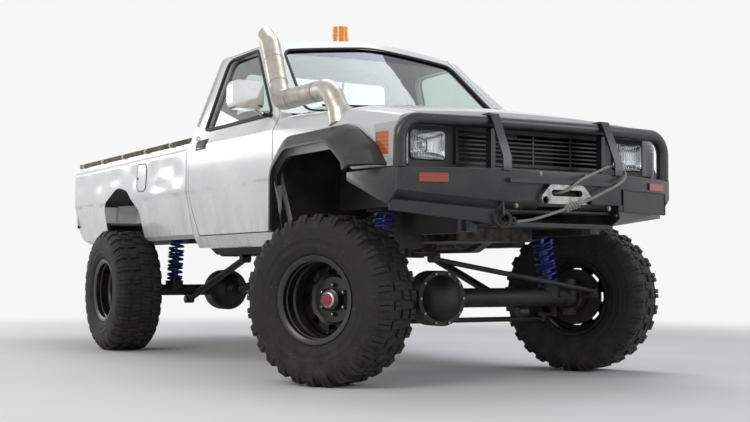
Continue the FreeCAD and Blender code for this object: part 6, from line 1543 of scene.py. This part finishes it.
tub_mesh = painted(scored(bare_copy("load_tub", "load_tub_finished"), tub_planes),
                   (enamel, chassis_paint), tub_finish)
for vert in tub_mesh.vertices:
    a, z = (FRONT - vert.co.x) * 1000, vert.co.z * 1000
    if vert.co.y < DENTED_OUTSIDE and z < DENTED_BELOW:
        push = sum(depth * math.exp(-((a - at) / wide) ** 2 - ((z - high) / tall) ** 2)
                   for at, high, wide, tall, depth in DENTS)
        vert.co.y += push / 1000 * min(1, (DENTED_BELOW - z) / DENTS_FADE)
    drop = CORNER_TOP - vert.co.z
    if abs(vert.co.y) > CORNER_SIDE and 0 < drop and vert.co.x < CORNER_BEHIND:
        limit = TAIL + CORNER - math.sqrt(max(0, CORNER ** 2 - min(drop, CORNER) ** 2))
        vert.co.x = max(vert.co.x, limit)
tub = finished("load_tub_finished", tub_mesh, "chassis", 30)
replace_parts(tub, "load_tub")
recess = softened(block((TAIL * 1000 - 1.5, -110, 1226), (TAIL * 1000 + 4, 110, 1292)), 2)
lever = softened(block((TAIL * 1000 - 9, -90, 1246), (TAIL * 1000 + 2, 90, 1278)), 3)
trim("tailgate_handle", [(recess, handle_plastic), (lever, dark_steel)], "tailgate")
print("tub dented:", len(tub_mesh.polygons), "faces")

# %% [markdown]
# ## Coils and covers below
#
# Each spring is wound closely in 12 mm wire round its damper, painted blue. A ring of bolts
# holds the round cover on each axle's housing.

# %% Coils and axle covers
COIL, COIL_TURNS, COIL_WIRE = 0.05, 11, 0.0062


def wound(foot, head, radius, turns, steps=20):
    """The line of a coil spring from its foot to its head."""
    axis = head - foot
    across = axis.cross(Vector((1, 0, 0))).normalized()
    onward = axis.normalized().cross(across)
    line = []
    for k in range(turns * steps + 1):
        turn = math.tau * k / steps
        line.append(foot + axis * k / (turns * steps)
                    + (across * math.cos(turn) + onward * math.sin(turn)) * radius)
    return line


coils = [(sweep(wound(foot, head, COIL, COIL_TURNS), COIL_WIRE, 8), spring_paint)
         for foot, head in SPRINGS]
trim("close_coils", coils, "chassis")
bolt = lathe([(0, 0), (8, 0), (8, 6), (7, 7), (0, 7)], 6)
bmesh.ops.translate(bolt, vec=mm(128, 0, 0), verts=bolt.verts)
cover_bolts = grown(round_tree, as_mesh(bolt), Count=10, Finish=bright_steel)
covers = []
for x, y, face in ((FRONT * 1000 + 62, -180, 1), (REAR * 1000 - 62, -90, -1)):
    matrix = Matrix.Translation(mm(x, y, WHEEL_HIGH * 1000)) @ Matrix.Rotation(
        face * FORWARD, 4, "Z")
    covers.append((merged("cover", [(cover_bolts, None)], matrix), None))
trim("axle_cover_bolts", covers, "chassis")
print("coils wound and covers bolted")

# %% [markdown]
# ## Floor, light and camera
#
# The truck stands on a plain pale floor, which fades into the backdrop a few metres out. The
# backdrop is the world itself, nearly white wherever the camera, a mirror or a pane looks at
# it, and dimmer as a light.

# %% Floor and backdrop
floor_paper, tree, shader = surface("floor, pale matt paper", "#F2F2F1", 0.95)
stained(tree, shader, blotches(tree, 900, 0.3, 0.7, 2), "#F1F1F0", "#F4F4F3")
white = add(tree, "ShaderNodeEmission", {"Color": "#F7F7F7", "Strength": 1.0})
away = add(tree, "ShaderNodeTexCoord").outputs["Object"]
distance = add(tree, "ShaderNodeVectorMath", {0: away}, operation="LENGTH").outputs[1]
fade = add(tree, "ShaderNodeMapRange", {"Value": distance, 1: 3.4, 2: 7.5},
           interpolation_type="SMOOTHSTEP")
mixed = add(tree, "ShaderNodeMixShader", {0: fade, 1: shader, 2: white})
output = next(n for n in tree.nodes if n.type == "OUTPUT_MATERIAL")
fill(tree, output, "Surface", mixed)
shape = bmesh.new()
bmesh.ops.create_circle(shape, cap_ends=True, segments=96, radius=60)
floor_mesh = as_mesh(shape, "floor")
floor_mesh.materials.append(floor_paper)
in_scene("floor", floor_mesh)

world = bpy.data.worlds.new("studio")
bpy.context.scene.world = world
world.use_nodes = True
tree = world.node_tree
tree.nodes.clear()
path = add(tree, "ShaderNodeLightPath")
mirrored = add(tree, "ShaderNodeMath", {
    0: path.outputs["Is Glossy Ray"], 1: path.outputs["Is Transmission Ray"]},
    operation="MAXIMUM")
seen = add(tree, "ShaderNodeMath", {0: path.outputs["Is Camera Ray"], 1: mirrored},
           operation="MAXIMUM")
soft = add(tree, "ShaderNodeBackground", {"Color": "#EDF1F6", "Strength": 0.35})
pale = add(tree, "ShaderNodeBackground", {"Color": "#F7F7F7", "Strength": 1.0})
sky = add(tree, "ShaderNodeMixShader", {0: seen, 1: soft, 2: pale})
add(tree, "ShaderNodeOutputWorld", {"Surface": sky})
print("floor and backdrop ready")

# %% [markdown]
# Four broad soft lamps light the truck: a key from the front right, a fill from the front
# left, a strip over the roof and a low one behind. Big lamps give enamel and chrome the long
# soft reflections that show their shape.

# %% Lamps


def lamp(name, power, spot, aim, wide, tall, colour):
    """A rectangular soft lamp at one point, turned to another."""
    light = bpy.data.lights.new(name, "AREA")
    light.shape = "RECTANGLE"
    light.size, light.size_y = wide, tall
    light.energy = power
    light.color = linear(colour)[:3]
    holder = in_scene(name, light)
    holder.location = spot
    holder.rotation_mode = "QUATERNION"
    holder.rotation_quaternion = (Vector(aim) - Vector(spot)).to_track_quat("-Z", "Y")


lamp("key", 155, (3.6, -6.2, 4.6), (0.2, 0, 0.9), 3.6, 2.6, "#FFF9F0")
lamp("fill", 80, (6.5, 3.8, 3.4), (1.0, 0, 0.9), 3.2, 2.6, "#F2F6FF")
lamp("roof", 110, (-0.6, 1.2, 5.6), (0, 0, 1.0), 5.0, 2.4, "#F6F9FF")
lamp("rear", 55, (-5.6, -3.0, 2.6), (-1.0, 0, 0.9), 2.6, 2.0, "#FFFFFF")
print("four lamps")

# %% [markdown]
# ## The camera
#
# The camera stands where the photographer stood, about half a metre off the ground ahead of
# the right front wheel, with a lens of about 59 mm on a 36 mm wide sensor. Its place was
# solved by matching the model's own corners to the picture's. A camera looks along its own
# -Z, so its turn is built from the three directions it needs: right, up and back.

# %% Camera
YAW, PITCH, ROLL = 149.899, 2.784, 0.191
SENSOR, FOCAL_PIXELS, PHOTO_PIXELS = 36, 1226.15, 750
yaw, pitch = math.radians(YAW), math.radians(PITCH)
forward = Vector((math.cos(pitch) * math.cos(yaw), math.cos(pitch) * math.sin(yaw),
                  math.sin(pitch)))
level = forward.cross(Vector((0, 0, 1))).normalized()
right = Matrix.Rotation(math.radians(-ROLL), 3, forward) @ level
up = right.cross(forward)
camera = in_scene("camera", bpy.data.cameras.new("camera"))
camera.data.sensor_width = SENSOR
camera.data.lens = SENSOR * FOCAL_PIXELS / PHOTO_PIXELS
camera.data.clip_end = 200
camera.matrix_world = Matrix.Translation(mm(6844.08, -3573.44, 543.46)) @ Matrix(
    (right, up, -forward)).transposed().to_4x4()
bpy.context.scene.camera = camera
bpy.context.scene.view_settings.view_transform = "Standard"
print("camera lens", round(camera.data.lens, 2), "mm")
